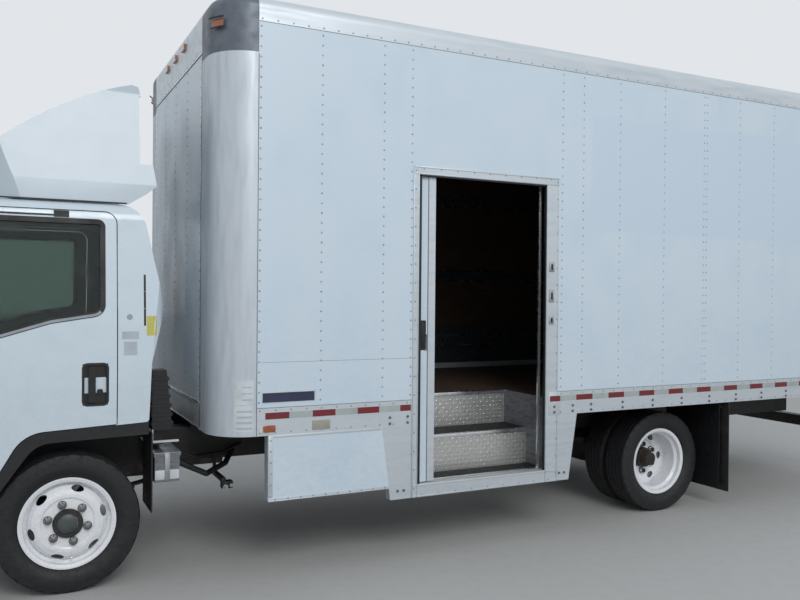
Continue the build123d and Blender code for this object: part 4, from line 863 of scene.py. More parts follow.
# %% Nosings, mats and the cheek
MAT_PITCH = 0.016
rows = [(WELL_FRONT, -1.152, 0.487, WELL_BACK, -1.118, 0.4905, 0.0015)]
for y, z in ((-0.950, 0.748), (-0.650, 1.004)):
    rows.append((WELL_FRONT, y - 0.006, z - 0.024, WELL_BACK, y + 0.001, z + 0.0035, 0.002))
    rows.append((WELL_FRONT, y - 0.006, z - 0.0005, WELL_BACK, y + 0.034, z + 0.0035, 0.0015))
box_piece("nosings", "bright_edge", rows)
rows = []
for front, back, z in ((-1.116, -0.957, 0.487), (-0.914, -0.652, 0.748)):
    rows.append((WELL_FRONT, front, z, WELL_BACK, back, z + 0.003))
    for n in range(int((back - front) / MAT_PITCH)):
        y = front + 0.006 + n * MAT_PITCH
        rows.append((WELL_FRONT + 0.004, y, z + 0.003, WELL_BACK - 0.004, y + 0.008, z + 0.0055))
box_piece("tread_mats", "black_plastic", rows, weld=0)
box_piece("well_cheek", "sheet_grey", [
    (WELL_BACK - 0.0004, -1.150, 0.489, WELL_BACK + 0.0009, -0.652, 1.003)])

# %% [markdown]
# ## Tyres and wheels
#
# A tyre is one profile spun about its axle: a bead, a side wall with a thin raised ring, a square
# shoulder and a tread with four grooves. Every third face of the shoulder is then set in, which
# gives the blocks at the tread's edge. The spun tyres stand for the plain ones of the frame.

# %% Spin the tyres
TREAD_STEPS = 96
GROOVE_DEPTH, GROOVE_HALF = 0.010, 0.0045
GROOVES = (0.062, 0.021, -0.021, -0.062)
TYRE_SIDE = ((0.075, 0.2505), (0.0765, 0.266), (0.090, 0.274), (0.101, 0.288), (0.1085, 0.305),
             (0.1115, 0.322), (0.1118, 0.330), (0.1105, 0.345), (0.1095, 0.3455), (0.1090, 0.352),
             (0.1065, 0.366), (0.1030, 0.380), (0.1015, 0.390), (0.0990, 0.398), (0.0930, TYRE_R - 0.0012))


def tyre_profile():
    """One side, the grooved tread and the other side, as a ring of (along, radius) points."""
    tread = []
    for middle in GROOVES:
        for along, depth in ((GROOVE_HALF, 0), (GROOVE_HALF - 0.001, GROOVE_DEPTH),
                             (-GROOVE_HALF + 0.001, GROOVE_DEPTH), (-GROOVE_HALF, 0)):
            tread.append((middle + along, TYRE_R - 0.0004 - depth))
    return [*TYRE_SIDE, *tread, *((-along, radius) for along, radius in reversed(TYRE_SIDE))]


def add_tyre(bm, centre):
    """Spun tyre with notched shoulders."""
    before = set(bm.faces)
    add_turned(bm, tyre_profile(), centre, TREAD_STEPS, closed=True)
    bmesh.ops.remove_doubles(bm, verts=bm.verts, dist=WELD)
    step = 2 * math.pi / TREAD_STEPS
    notches = []
    for face in [face for face in bm.faces if face not in before]:
        place = face.calc_center_median() - centre
        radius = math.hypot(place.x, place.z)
        turn = int((math.atan2(place.z, place.x) + math.pi) / step)
        if 0.389 < radius < 0.401 and abs(place.y) > 0.096 and turn % 3 == 0:
            notches.append(face)
    bmesh.ops.inset_individual(bm, faces=notches, thickness=0.0012, depth=-0.005)


def wheel_centres(name):
    """Middle of each tyre in a tyre node, and of the node itself."""
    low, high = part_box(name)
    middle = (low + high) / 2
    if high.y - low.y < (high.z - low.z) / 2:
        return [middle], middle
    return [Vector((middle.x, y, middle.z)) for y in (low.y + 0.11245, high.y - 0.11245)], middle


for node in ("front_left_tyre", "front_right_tyre", "rear_left_tyres", "rear_right_tyres"):
    bm = bmesh.new()
    for centre in wheel_centres(node)[0]:
        add_tyre(bm, centre)
    body = node.rsplit("_", 1)[0] + "_hub"
    piece = finish_piece(node.replace("tyre", "spun_tyre"), bm, body, "tyre", sharp=28, weld=0)
    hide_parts(node)

# %% [markdown]
# ## Hubs and nuts
#
# The front hubs are black castings with a grey cap and bright six-sided nuts. The rear hubs lie
# deep in their dished wheels, and their nuts have rusted. Each nut is a bar of six sides with a
# domed end, set on the stud circle where the frame has its plain studs.

# %% Dress the hubs
STUD_R = 0.1111
NUT_R = 0.0205
FRONT_RING = ((0.074, 0.0835), (0.088, 0.0835), (0.0935, 0.0785), (0.0935, 0.056), (0.0915, 0.054))
FRONT_CAP = ((0.0915, 0.054), (0.102, 0.0515), (0.1055, 0.046), (0.1065, 0.020), (0.1065, 0.0002))
REAR_COVER = ((0.0095, 0.0835), (0.060, 0.0775), (0.0615, 0.062), (0.119, 0.0535), (0.1215, 0.046),
              (0.1215, 0.0002))
REAR_FACE = ((0.0098, 0.0840), (0.0098, 0.132), (0.0112, 0.132), (0.0112, 0.0840))


def nut_piece(name, body, slot, centre, side, start, end, first_angle):
    """Six nuts round a hub, facing outwards on one side of the truck."""
    bm = bmesh.new()
    away = Vector((0, side, 0))
    for n in range(6):
        angle = math.radians(first_angle + 60 * n)
        foot = centre + Vector((STUD_R * math.sin(angle), side * start, STUD_R * math.cos(angle)))
        head = foot + away * (end - start)
        add_bar(bm, foot, head, NUT_R, 6)
        add_bar(bm, head, head + away * 0.006, NUT_R * 0.8, 12, NUT_R * 0.4)
        add_bar(bm, foot - away * 0.002, foot + away * 0.005, NUT_R * 1.25, 16)
    finish_piece(name, bm, body, slot)


def turned_piece(name, body, slot, centre, side, profile, closed=False):
    """Piece that is one profile turned about the axle, on the side of the truck that it is on."""
    bm = bmesh.new()
    add_turned(bm, [(side * along, radius) for along, radius in profile], centre, 48, closed)
    finish_piece(name, bm, body, slot)


for name, side in (("left", -1), ("right", 1)):
    front, body = f"front_{name}", f"front_{name}_hub"
    centre = wheel_centres(f"{front}_tyre")[1]
    nut_piece(f"{front}_nuts", body, "nut_grey", centre, side, 0.0735, 0.1015, 44)
    turned_piece(f"{front}_hub_ring", body, "chassis_black", centre, side, FRONT_RING)
    turned_piece(f"{front}_cap", body, "cap_grey", centre, side, FRONT_CAP)
    bm = bmesh.new()
    add_bar(bm, centre + Vector((0.02, side * 0.068, -0.212)), centre + Vector((0.02, side * 0.098, -0.196)),
            0.004, 10)
    finish_piece(f"{front}_valve", bm, body, "zinc")

    rear, body = f"rear_{name}", f"rear_{name}_hub"
    centre = wheel_centres(f"{rear}_tyres")[1]
    nut_piece(f"{rear}_nuts", body, "rusty_iron", centre, side, 0.0095, 0.046, 0)
    turned_piece(f"{rear}_hub_cover", body, "rusty_iron", centre, side, REAR_COVER)
    turned_piece(f"{rear}_stud_face", body, "wheel_white", centre, side, REAR_FACE, closed=True)

# %% [markdown]
# ## Trim on the cab's curved side
#
# The cab's side leans in above the belt line and turns the corner behind the door. Trim has to
# follow it, so one function gives the side's Y for any X and Z. An outline is sampled with its
# round corners, then moved in or out along its own normals to give both edges of a strip.

# %% Helpers that follow the cab's side
CAB_PROFILE = [(0.500, 0.985), (1.200, 0.997), (1.560, 0.985), (2.279, 0.925)]
CAB_CORNER_X, CAB_CORNER_Y, CAB_CORNER_R = 0.415, 0.880, 0.120
SCREEN_LINE = ((-1.062, 1.350), (-0.790, 2.180))


def cab_side(x, z):
    """Distance of the cab's side from the middle of the truck."""
    for (z_low, y_low), (z_high, y_high) in zip(CAB_PROFILE, CAB_PROFILE[1:]):
        if z <= z_high or z_high == CAB_PROFILE[-1][0]:
            side = y_low + (y_high - y_low) * (z - z_low) / (z_high - z_low)
            break
    past = x - CAB_CORNER_X
    if past <= 0:
        return side
    return min(side, CAB_CORNER_Y + math.sqrt(max(0.0, CAB_CORNER_R ** 2 - past ** 2)))


def round_outline(corners, steps=8):
    """Points of a closed outline whose corners (x, z, radius) are rounded."""
    points = []
    count = len(corners)
    for n, corner in enumerate(corners):
        before, here, after = (Vector(corners[(n + k) % count][:2]) for k in (-1, 0, 1))
        back, ahead = (before - here).normalized(), (after - here).normalized()
        angle = back.angle(ahead)
        reach = corner[2] / math.tan(angle / 2)
        centre = here + (back + ahead).normalized() * (corner[2] / math.sin(angle / 2))
        start, end = here + back * reach - centre, here + ahead * reach - centre
        swing = start.angle_signed(end)
        points += [centre + Matrix.Rotation(-swing * k / steps, 2) @ start for k in range(steps + 1)]
    return points


def round_rectangle(low, high, radius):
    """Points of an upright rectangle with round corners."""
    corners = (low, (low[0], high[1]), high, (high[0], low[1]))
    return round_outline([(*corner, radius) for corner in corners])


def shifted(points, distance, closed=True):
    """Outline moved sideways along its own normals."""
    moved = []
    count = len(points)
    for n, point in enumerate(points):
        before = points[n - 1] if closed or n else point
        after = points[(n + 1) % count] if closed or n < count - 1 else point
        run = (after - before).normalized()
        moved.append(point + Vector((-run.y, run.x)) * distance)
    return moved


def inward_way(points):
    """1 if a positive shift moves an outline inwards, or else -1."""
    middle = sum(points, Vector((0, 0))) / len(points)
    return 1 if (shifted(points, 0.01)[0] - middle).length < (points[0] - middle).length else -1


def on_side(a, b, offset):
    """Point on the cab's left side, moved outwards by an offset."""
    return at(a, -cab_side(a, b) - offset, b)


def on_front(a, b, offset):
    """Point on the slope of the windscreen, moved outwards by an offset."""
    (x_low, z_low), (x_high, z_high) = SCREEN_LINE
    return at(x_low + (x_high - x_low) * (b - z_low) / (z_high - z_low) - offset, a, b)


def add_band(bm, points, edge_1, edge_2, proud, depth, closed=True, place=on_side):
    """Strip between two offsets of an outline that lies on the cab."""
    (top_1, top_2), (low_1, low_2) = (
        [[bm.verts.new(place(a, b, offset)) for a, b in shifted(points, edge, closed)]
         for edge in (edge_1, edge_2)] for offset in (proud, -depth))
    count = len(points)
    for n in range(count if closed else count - 1):
        m = (n + 1) % count
        bm.faces.new((top_1[n], top_1[m], top_2[m], top_2[n]))
        bm.faces.new((low_1[n], low_2[n], low_2[m], low_1[m]))
        bm.faces.new((top_1[n], low_1[n], low_1[m], top_1[m]))
        bm.faces.new((top_2[n], top_2[m], low_2[m], low_2[n]))
    for n in () if closed else (0, count - 1):
        bm.faces.new((top_1[n], top_2[n], low_2[n], low_1[n]))


def add_patch(bm, points, proud, depth):
    """Thin cover inside an outline that lies on the cab's left side."""
    top, low = ([bm.verts.new(on_side(x, z, offset)) for x, z in points] for offset in (proud, -depth))
    bm.faces.new(top)
    bm.faces.new(list(reversed(low)))
    for n in range(len(points)):
        m = (n + 1) % len(points)
        bm.faces.new((top[n], low[n], low[m], top[m]))


def door_piece(name, slot, build):
    """Piece on each cab door. The right one is the left one turned over."""
    for word in ("left", "right"):
        bm = bmesh.new()
        build(bm)
        if word == "right":
            turned_over(bm, bm.verts)
        finish_piece(f"{word}_{name}", bm, f"{word}_cab_door", slot)


WINDOW = round_outline([(-0.800, 1.400, 0.040), (-0.640, 2.168, 0.060), (0.190, 2.168, 0.040),
                        (0.190, 1.612, 0.070), (-0.100, 1.567, 0.200), (-0.420, 1.470, 0.200)])
print("window outline has", len(WINDOW), "points; the side at the belt is at", round(cab_side(0, 1.4), 3))

# %% Window rubber, grey moulding, rain strip and handles
WINDOW_IN = inward_way(WINDOW)
SILL_LINE = sorted((point for point in WINDOW if point.y < 1.63 and point.x < 0.185),
                   key=lambda point: point.x)
RAIN_LINE = [Vector((-0.655 + 0.02 * n, 2.1865)) for n in range(33)]
RAIN_END = [Vector((x, 2.195)) for x in (-0.085, -0.045, -0.004)]
RECESS = round_rectangle((0.0685, 1.0895), (0.2085, 1.3315), 0.028)
RECESS_IN = inward_way(RECESS)


def add_rain_strip(bm):
    """Long lip over the window with a short wider end."""
    add_band(bm, RAIN_LINE, -0.005, 0.005, 0.004, 0.002, closed=False)
    add_band(bm, RAIN_END, -0.019, 0.019, 0.005, 0.002, closed=False)


def add_handle(bm):
    """Recess with a rim, an upright grip and the lock."""
    add_band(bm, RECESS, -0.004 * RECESS_IN, 0.010 * RECESS_IN, 0.0022, 0.013)
    add_patch(bm, shifted(RECESS, 0.008 * RECESS_IN), -0.0125, 0.0135)
    add_patch(bm, round_rectangle((0.100, 1.105), (0.140, 1.315), 0.012), 0.0015, 0.0120)
    add_patch(bm, round_rectangle((0.148, 1.150), (0.180, 1.182), 0.010), -0.006, 0.0130)


door_piece("window_rubber", "rubber_black",
           lambda bm: add_band(bm, WINDOW, -0.004 * WINDOW_IN, 0.026 * WINDOW_IN, 0.0012, 0.013))
door_piece("window_moulding", "moulding_grey",
           lambda bm: add_band(bm, SILL_LINE, 0.001, 0.016, 0.0030, 0.004, closed=False))
door_piece("rain_strip", "rubber_black", add_rain_strip)
door_piece("door_handle", "rubber_black", add_handle)

# %% Plug, vent slot and blank labels behind the door
bm = bmesh.new()
angles = [math.radians(15 * n) for n in range(24)]
add_patch(bm, [(0.328 + 0.017 * math.cos(a), 1.600 + 0.017 * math.sin(a)) for a in angles], 0.0012, 0.002)
finish_piece("cab_plug", bm, "cab", "moulding_grey")
bm = bmesh.new()
for low in (1.548, 1.650, 1.752):
    slot_line = [Vector((0.4145, low + 0.010 * n)) for n in range(11)]
    add_band(bm, slot_line, -0.006, 0.006, 0.0010, 0.003, closed=False)
finish_piece("cab_vent_slot", bm, "cab", "rubber_black")
bm = bmesh.new()
label_line = [Vector((0.425 + 0.012 * n, 1.550)) for n in range(6)]
add_band(bm, label_line, -0.060, 0.055, 0.0012, 0.002, closed=False)
finish_piece("cab_label_yellow", bm, "cab", "label_yellow")
bm = bmesh.new()
for x_low, z_low, x_high, z_high in ((0.285, 1.470, 0.380, 1.515), (0.295, 1.375, 0.370, 1.455)):
    add_patch(bm, [(x_low, z_low), (x_low, z_high), (x_high, z_high), (x_high, z_low)], 0.0010, 0.002)
finish_piece("cab_labels", bm, "cab", "label_grey")

# %% [markdown]
# ## Inside the load space
#
# The walls are lined with plywood above a scuffed band of grey sheet, and the lashing tracks
# have a long row of slots. All of it is dark, because only the door and the seams let light in.
# The lining is two millimetres thick and lies on the inner faces of the walls.

# %% Line the walls
LINING = 0.002
SCUFF_TOP = 1.44
TRACK_ZS = (1.285, 1.942, 2.705)
LEFT_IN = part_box("box_left_wall")[1].y
POCKET_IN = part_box("door_pocket")[1].y


def lining_rows(low, high, front_high):
    """Sheets on the right wall, on the left wall behind the door, and on the front wall."""
    return [(1.04, WALL_IN - LINING, low, 6.79, WALL_IN - 0.0002, high),
            (3.29, LEFT_IN + 0.0002, low, 6.79, LEFT_IN + LINING, high),
            (0.8055, -0.82, low, 0.8055 + LINING, 0.82, front_high)]


box_piece("plywood_lining", "plywood", lining_rows(SCUFF_TOP, 3.38, 3.25))
box_piece("scuff_band", "scuff_sheet", lining_rows(1.055, SCUFF_TOP, SCUFF_TOP))
box_piece("pocket_lining", "plywood", [
    (1.12, POCKET_IN + 0.0002, FLOOR_TOP + 0.004, 2.08, POCKET_IN + LINING, 2.58)])

# %% Slots in the lashing tracks
SLOT_PITCH = 0.0508
TRACK_FACES = ((WALL_IN - 0.012, -1, 1.08), (LEFT_IN + 0.012, 1, 3.36))
bm = bmesh.new()
rows = []
turn = UPRIGHT @ Matrix.Diagonal((0.008, 0.022, 1, 1))
for face, way, start in TRACK_FACES:
    for z in TRACK_ZS:
        for n in range(int((6.77 - start) / SLOT_PITCH)):
            place = at(start + n * SLOT_PITCH, face + way * 0.0004, z)
            bmesh.ops.create_cone(bm, cap_ends=True, segments=8, radius1=1, radius2=1, depth=0.001,
                                  matrix=Matrix.Translation(place) @ turn)
        for edge in (-0.056, 0.048):
            rows.append((start, face, z + edge, 6.79, face + way * 0.0015, z + edge + 0.008))
finish_piece("track_slots", bm, "chassis", "rubber_black", weld=0)
box_piece("track_lips", "bright_edge", rows, weld=0)

# %% [markdown]
# ## Trim on the outside of the body
#
# The box that houses the open door below the floor is framed in aluminium. The cap on each upper
# front corner carries an amber lamp under a dark visor, bent to the cap's curve. A dark line
# parts the header from the front wall. Beside each bright edge trim on the front runs a dark
# joint that is also a painted shadow line, and a bright lip runs along the rail below.

# %% Frame the skirt box
OUTSIDE = -WALL_Y - 0.0025
box_piece("skirt_frame", "aluminium", [
    (1.106, OUTSIDE, 0.4975, 1.134, -WALL_Y, 0.880, 0.001),
    (1.106, OUTSIDE, 0.479, 1.915, -WALL_Y, 0.498, 0.001),
    (1.106, -WALL_Y - 0.010, 0.4785, 1.915, -WALL_Y, 0.4815, 0.001),
    (1.104, -WALL_Y, 0.479, 1.108, -1.150, 0.880, 0.001),
    (1.134, OUTSIDE, 0.866, 1.862, -WALL_Y, 0.880, 0.001)])
bm = bmesh.new()
add_row(bm, (1.120, OUTSIDE, 0.51), (1.120, OUTSIDE, 0.85), 0.07)
add_row(bm, (1.150, OUTSIDE, 0.489), (1.890, OUTSIDE, 0.489), 0.08)
finish_piece("skirt_rivets", bm, "chassis", "rivet_grey", weld=0)

# %% Lamps on the caps
lens, visor = bmesh.new(), bmesh.new()
add_on_post(lens, 47, 67, 3.348, 3.392, 0.020)
add_on_post(visor, 45, 69, 3.392, 3.404, 0.034)
add_on_post(visor, 45, 69, 3.338, 3.348, 0.022)
for name, bm, slot in (("cap_lamps", lens, "amber_lamp"), ("cap_lamp_visors", visor, "rubber_black")):
    mirrored(bm)
    finish_piece(name, bm, "chassis", slot)

# %% Lines on the front and the sides of the body, and painted shadow lines
SEAM_HALF = 0.0015
RAIL_FOOT = RAIL_LOW + 0.01
# The level strip is the joint under the header. The two upright strips are joints and also painted shadow
# lines beside the bright edge trims.
box_piece("front_seams", "rubber_black", [
    (FRONT_X - 0.0015, -0.829, 3.246, FRONT_X, 0.829, 3.2525),
    (FRONT_X - 0.0012, -0.832, RAIL_FOOT, FRONT_X, -0.826, 3.20),
    (FRONT_X - 0.0012, 0.826, RAIL_FOOT, FRONT_X, 0.832, 3.20)])
box_piece("front_edge_trim", "bright_edge", [
    (FRONT_X - 0.0018, -0.8255, RAIL_FOOT, FRONT_X, -0.812, 3.20)], both=True)
box_piece("front_lips", "bright_edge", [
    (FRONT_X - 0.006, -0.829, RAIL_SEAM - 0.004, FRONT_X, 0.829, RAIL_SEAM + 0.008, 0.0015),
    (FRONT_X - 0.004, -0.829, RAIL_LOW + 0.001, FRONT_X, 0.829, RAIL_LOW + 0.012, 0.0015),
    (FRONT_X - 0.003, -0.829, 3.2535, FRONT_X, 0.829, 3.262, 0.001)])
rows = [(1.062, -WALL_Y - 0.0005, 1.3262, 2.083, -WALL_Y, 1.3278)]
for side, spans in ((-1, ((1.033, 2.083), (3.277, 6.798))), (1, ((1.033, 6.798),))):
    y, proud = side * WALL_Y, side * (WALL_Y + 0.0012)
    rows.append((1.028, y, RAIL_LOW + 0.002, 1.0325, proud, 3.19))
    rows.append((1.033, y, ROOF_SEAM - SEAM_HALF, 6.798, proud, ROOF_SEAM + SEAM_HALF))
    rows += [(start, y, RAIL_SEAM - SEAM_HALF, end, proud, RAIL_SEAM + SEAM_HALF) for start, end in spans]
box_piece("side_seams", "seam_grey", rows)

# %% [markdown]
# ## Between the cab and the body
#
# Behind the cab stand the ribbed air intake, the battery box with its bright lid and strap, and
# pipes that run down to the frame. Low under the body's front a fitting with six sides shines.
# These pipes are rigid, so they are bent tubes that start and end in what holds them.

# %% Battery box, pipes and brackets
THICK_PIPE = ((0.600, -0.430, 0.700), (0.690, -0.620, 0.640), (0.860, -0.660, 0.560),
              (1.010, -0.560, 0.600), (1.090, -0.424, 0.660))
THIN_PIPE = ((0.560, -0.430, 0.760), (0.640, -0.540, 0.720), (0.800, -0.560, 0.660),
             (1.000, -0.500, 0.660), (1.150, -0.424, 0.700))
box_piece("battery_straps", "zinc", [
    (0.478, -0.9315, 0.7665, 0.642, -0.560, 0.7705, 0.0015),
    (0.545, -0.9325, 0.600, 0.575, -0.9245, 0.766, 0.001)])
box_piece("battery_panel", "label_white", [(0.488, -0.9262, 0.606, 0.632, -0.9243, 0.664, 0.0008)])
box_piece("intake_bracket", "label_white", [
    (0.478, -0.866, 0.822, 0.640, -0.842, 0.834, 0.001),
    (0.480, -0.866, 0.834, 0.486, -0.842, 0.905, 0.001)])
bm = bmesh.new()
for points, radius in ((THICK_PIPE, 0.019), (THIN_PIPE, 0.011)):
    add_tube(bm, [at(*point) for point in points], radius)
finish_piece("air_pipes", bm, "chassis", "rubber_black")
box_piece("valve_block", "chassis_black", [
    (0.950, -0.700, 0.500, 0.980, -0.420, 0.530, 0.004),
    (0.955, -0.695, 0.455, 1.030, -0.640, 0.505, 0.006),
    (0.955, -0.450, 0.530, 0.975, -0.424, 0.640, 0.003)])
bar_piece("hex_fittings", "chrome", [
    (0.975, -0.695, 0.470, 0.975, -0.712, 0.470, 0.019, 6),
    (0.975, -0.712, 0.470, 0.975, -0.730, 0.470, 0.011, 20),
    (1.015, -0.695, 0.478, 1.015, -0.708, 0.478, 0.013, 6)])

# %% Underneath: U-bolts, tank straps and the tank's cap
bm = bmesh.new()
for x, y, low, high in ((0.0, 0.390, 0.335, 0.462), (WHEELBASE, 0.480, 0.335, 0.540)):
    for along in (-0.048, 0.048):
        for across in (-0.040, 0.040):
            add_bar(bm, at(x + along, y + across, low), at(x + along, y + across, high), 0.007, 10)
    add_box(bm, at(x - 0.062, y - 0.048, low), at(x + 0.062, y + 0.048, low + 0.012), 0.002)
mirrored(bm)
finish_piece("u_bolts", bm, "chassis", "rusty_iron", weld=0)
STRAP = ((0.478, 0.428), (0.962, 0.428), (0.962, 0.782), (0.478, 0.782))
bm = bmesh.new()
for x in (1.45 + AXLE_X, 2.05 + AXLE_X):
    add_plate(bm, STRAP, "X", x - 0.020, x + 0.020, 0.055)
finish_piece("tank_straps", bm, "chassis", "zinc")
bar_piece("tank_cap", "rubber_black", [
    (1.32, 0.962, 0.700, 1.32, 0.985, 0.700, 0.040, 24), (1.32, 0.985, 0.700, 1.32, 0.990, 0.700, 0.034, 24)])

# %% [markdown]
# ## The front of the cab
#
# The windscreen sits in black rubber, and two wipers lie along its foot. The grille's slots are
# backed with black, each lamp has a bright bowl behind its lens with an amber corner, and the
# mirrors have silvered glass. The photograph does not show this side, so it stays plain.

# %% Windscreen rubber and grille backing
SCREEN = round_outline([(-0.850, 1.400, 0.060), (-0.770, 2.110, 0.060), (0.770, 2.110, 0.060),
                        (0.850, 1.400, 0.060)])
way = inward_way(SCREEN)
bm = bmesh.new()
add_band(bm, SCREEN, -0.006 * way, 0.030 * way, 0.0020, 0.0125, place=on_front)
finish_piece("screen_rubber", bm, "cab", "rubber_black")
rows = []
for y_low, y_high in ((-0.556, -0.280), (-0.280, 0.0), (0.0, 0.280), (0.280, 0.556)):
    x = -1.085 + 0.045 * max(abs(y_low + y_high) / 2, 0.20) + 0.0125
    for z in (0.960, 1.018, 1.076, 1.134):
        rows.append((x, y_low, z + 0.001, x + 0.010, y_high, z + 0.039))
box_piece("grille_backing", "rubber_black", rows, "cab", weld=0)

# %% Wipers and mirror glass
bm = bmesh.new()
for side in (-1, 1):
    pivot = on_front(side * 0.10 - 0.28, 1.385, 0.014)
    tip = on_front(side * 0.10 + 0.24, 1.455, 0.016)
    blade = Vector((0.006, 0, 0.035))
    add_bar(bm, pivot, tip, 0.006, 8)
    add_bar(bm, pivot + Vector((0.03, 0, -0.01)), pivot - Vector((0.006, 0, 0)), 0.012, 12)
    for share in (0.1, 0.5, 0.9):
        add_bar(bm, pivot.lerp(tip, share), pivot.lerp(tip, share) + Vector((0.004, 0, 0.035)), 0.004, 8)
    add_bar(bm, pivot + blade, tip + blade, 0.0045, 8)
finish_piece("wipers", bm, "cab", "rubber_black", weld=0)
bm = bmesh.new()
add_plate(bm, rounded((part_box("mirrors")[0].y + 0.013, 1.513), (-1.163, 1.887), 0.033), "X",
          -0.9595 + AXLE_X, -0.9570 + AXLE_X)
mirrored(bm)
finish_piece("mirror_glass", bm, "cab", "mirror_silver")

# %% Lamps at the front
bar_piece("headlamp_bowls", "chrome",
          [(-1.0805, y, 0.865, -1.0930, y, 0.865, 0.050, 32) for y in (-0.745, 0.745)], "cab")
box_piece("front_indicators", "amber_lamp", [
    (-1.070, 0.862, 0.812, -1.020, 0.908, 0.918, 0.004)], "cab", both=True)

# %% [markdown]
# ## The rear
#
# Each rear door is edged with a black gasket. The lamps on the sill and above the doors are red,
# and the sill carries the same marking tape as the sides. Behind each pair of rear wheels a wide
# rubber sheet hangs on the bar of the mud flap.

# %% Gaskets, lamps and tape at the rear
GASKETS = ((0.004, 0.016, 1.011, 3.323), (1.117, 1.128, 1.011, 3.323), (0.016, 1.117, 1.011, 1.023),
           (0.016, 1.117, 3.311, 3.323))
for word, side in (("left", -1), ("right", 1)):
    box_piece(f"rear_{word}_gasket", "rubber_black",
              [(REAR_X, side * y_low, z_low, REAR_X + 0.003, side * y_high, z_high, 0.0008)
               for y_low, y_high, z_low, z_high in GASKETS], f"rear_{word}_leaf")
LAMP_X = REAR_X - 0.0005
rows = [(LAMP_X, y, 0.893, REAR_X + 0.027, y + 0.204, 0.987, 0.006) for y in (-0.962, 0.758)]
rows += [(LAMP_X, y - 0.046, 3.399, REAR_X + 0.0195, y + 0.046, 3.441, 0.004) for y in (-0.3, 0.0, 0.3)]
box_piece("tail_lamps", "red_lens", rows)
SILL_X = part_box("rear_frame")[1].x - AXLE_X
SILL_ROWS = []
for n in range(13):
    y = -0.99 + n * TAPE_BLOCK
    SILL_ROWS.append((SILL_X, y, 0.925, SILL_X + 0.0008, min(y + TAPE_BLOCK, 0.99), 0.965))
box_piece("sill_tape_red", "tape_red", SILL_ROWS[1::2], weld=0)
box_piece("sill_tape_white", "tape_white", SILL_ROWS[0::2], weld=0)

# %% Rubber sheets behind the rear mud flaps
FLAP_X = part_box("mudguards")[1].x - AXLE_X
FLAP_FOOT, FLAP_TOP = 0.137, 0.880
FLAP_INNER = 0.565
box_piece("flap_sheets", "rubber_black", [
    (FLAP_X - 0.001, -WALL_Y + 0.004, FLAP_FOOT, FLAP_X + 0.007, -FLAP_INNER, FLAP_TOP, 0.002)], both=True)

# %% Joints under the deflector
FAIRING_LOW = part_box("roof_fairing")[0].z
box_piece("fairing_joint", "rubber_black", [
    (-0.50, -0.882, FAIRING_LOW - 0.0003, 0.32, -0.874, FAIRING_LOW + 0.008)], "cab", both=True)

# %% [markdown]
# ## Seats
#
# A seat cushion is foam under cloth, so it is crowned and its sides pull in between the corners.
# Each cushion starts as a plain block a little smaller than its place. It is remeshed into small
# even faces and blown up by cloth pressure with no gravity. A cap on how far a point may move
# keeps it in the seat's own space. Sewn channels are pressed in afterwards.

# %% Blow up the cushions
SEATS = ((-0.560, 0.500), (-0.060, 0.380), (0.500, 0.600))
SQUAB = [(-0.256, 1.204), (-0.256, 1.312), (0.205, 1.296), (0.205, 1.204)]
BACK_REST = [(0.256, 1.214), (0.222, 1.330), (0.304, 1.976), (0.368, 1.966), (0.330, 1.214)]
SHRINK = 0.014
SWELL_LIMIT = 0.022
CUSHION_VOXEL = 0.012
SEAT_PLANE = 1.1905


def evaluated_mesh(piece):
    """Mesh of a piece with its modifiers worked out."""
    graph = bpy.context.evaluated_depsgraph_get()
    return bpy.data.meshes.new_from_object(piece.evaluated_get(graph), depsgraph=graph)


def blow_up(piece):
    """Swell a closed mesh with cloth pressure and keep each point within the limit."""
    start = [vert.co.copy() for vert in piece.data.vertices]
    cloth = piece.modifiers.new("cloth", "CLOTH")
    cloth.settings.use_pressure = True
    cloth.settings.uniform_pressure_force = 4.0
    cloth.settings.effector_weights.gravity = 0.0
    cloth.settings.quality = 4
    cloth.collision_settings.use_self_collision = False
    for frame_number in range(1, 21):
        bpy.context.scene.frame_set(frame_number)
    swollen = [vert.co.copy() for vert in evaluated_mesh(piece).vertices]
    piece.modifiers.remove(cloth)
    bpy.context.scene.frame_set(1)
    for vert, old, new in zip(piece.data.vertices, start, swollen):
        move = new - old
        if move.length > SWELL_LIMIT:
            move *= SWELL_LIMIT / move.length
        vert.co = old + move


def press_channels(mesh):
    """Press the sewn channels and rest the cushions on their bases."""
    for vert in mesh.vertices:
        x, y, z = vert.co.x - AXLE_X, vert.co.y, vert.co.z
        middle, width = min(SEATS, key=lambda seat: abs(seat[0] - y))
        depth = 0.0
        for line in (-0.26, 0.26):
            depth = max(depth, 0.007 * math.exp(-((y - middle - line * width) / 0.010) ** 2))
        if x > 0.20 and z > 1.34:
            depth = max(depth, 0.009 * math.exp(-((z - 1.76) / 0.010) ** 2))
            vert.co.x += depth if x < 0.34 else 0
        elif z > 1.26:
            vert.co.z -= depth
        vert.co.z = max(vert.co.z, SEAT_PLANE)


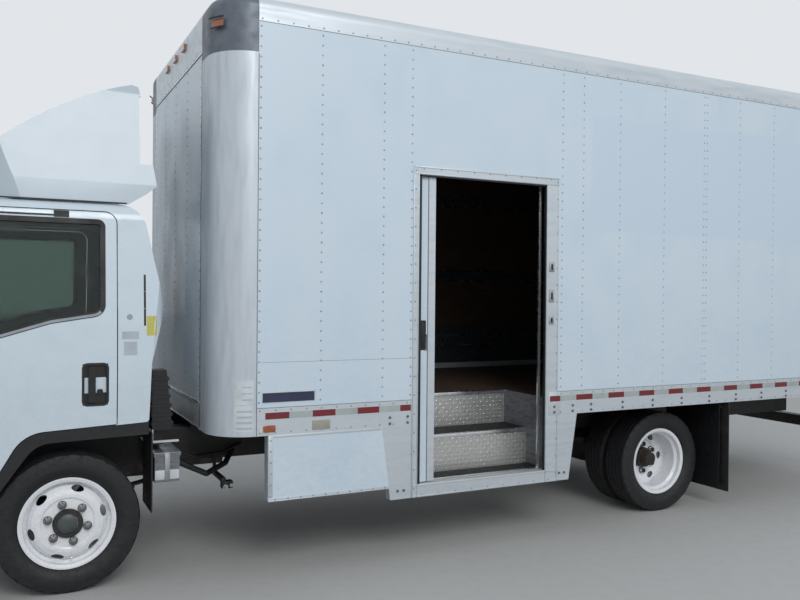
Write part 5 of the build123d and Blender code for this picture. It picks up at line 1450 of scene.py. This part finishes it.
bm = bmesh.new()
for y, width in SEATS:
    left, right = y - width / 2 + SHRINK, y + width / 2 - SHRINK
    for outline in (SQUAB, BACK_REST):
        add_plate(bm, [(x + AXLE_X, z) for x, z in outline], "Y", left, right, 0.030)
cushions = finish_piece("seat_cushions", bm, "cab", "seat_cloth", sharp=180)
remesh = cushions.modifiers.new("even_faces", "REMESH")
remesh.mode = "VOXEL"
remesh.voxel_size = CUSHION_VOXEL
cushions.data = evaluated_mesh(cushions)
cushions.modifiers.clear()
blow_up(cushions)
subdivide = cushions.modifiers.new("smooth", "SUBSURF")
subdivide.levels = subdivide.render_levels = 1
cushions.data = evaluated_mesh(cushions)
cushions.modifiers.clear()
press_channels(cushions.data)
cushions.data.shade_smooth()
cushions.data.materials.clear()
cushions.data.materials.append(FINISHES["seat_cloth"])
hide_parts("seats")
print("cushions have", len(cushions.data.polygons), "faces")

# %% [markdown]
# ## Inside the cab
#
# Through the glass one sees the instrument hood, the pad of the steering wheel and the trim of
# the doors. They are plain dark plastic.

# %% Dashboard hood, wheel pad and arm rest
HOOD = ((-0.800, 1.425), (-0.790, 1.475), (-0.700, 1.455), (-0.690, 1.340))
ARM_REST = ((-0.60, 1.36), (0.17, 1.42), (0.17, 1.47), (-0.60, 1.41))
bm = bmesh.new()
add_plate(bm, [(x + AXLE_X, z) for x, z in HOOD], "Y", -0.760, -0.360, 0.012)
for n in range(3):
    add_box(bm, at(-0.712, -0.20 + n * 0.16, 1.150), at(-0.690, -0.07 + n * 0.16, 1.230), 0.006)
finish_piece("instrument_hood", bm, "cab", "cab_trim")
bm = bmesh.new()
tilt = Matrix.Translation(at(-0.530, -0.560, 1.500)) @ Matrix.Rotation(math.radians(28), 4, "Y")
pad = bmesh.ops.create_cone(bm, cap_ends=True, segments=32, radius1=0.066, radius2=0.050, depth=0.030,
                            matrix=tilt @ Matrix.Translation((0, 0, 0.004)))
soften(bm, pad["verts"], 0.006)
finish_piece("wheel_pad", bm, "cab", "cab_trim")
bm = bmesh.new()
add_patch(bm, ARM_REST, -0.095, 0.044)
finish_piece("left_arm_rest", bm, "left_cab_door", "cab_trim")
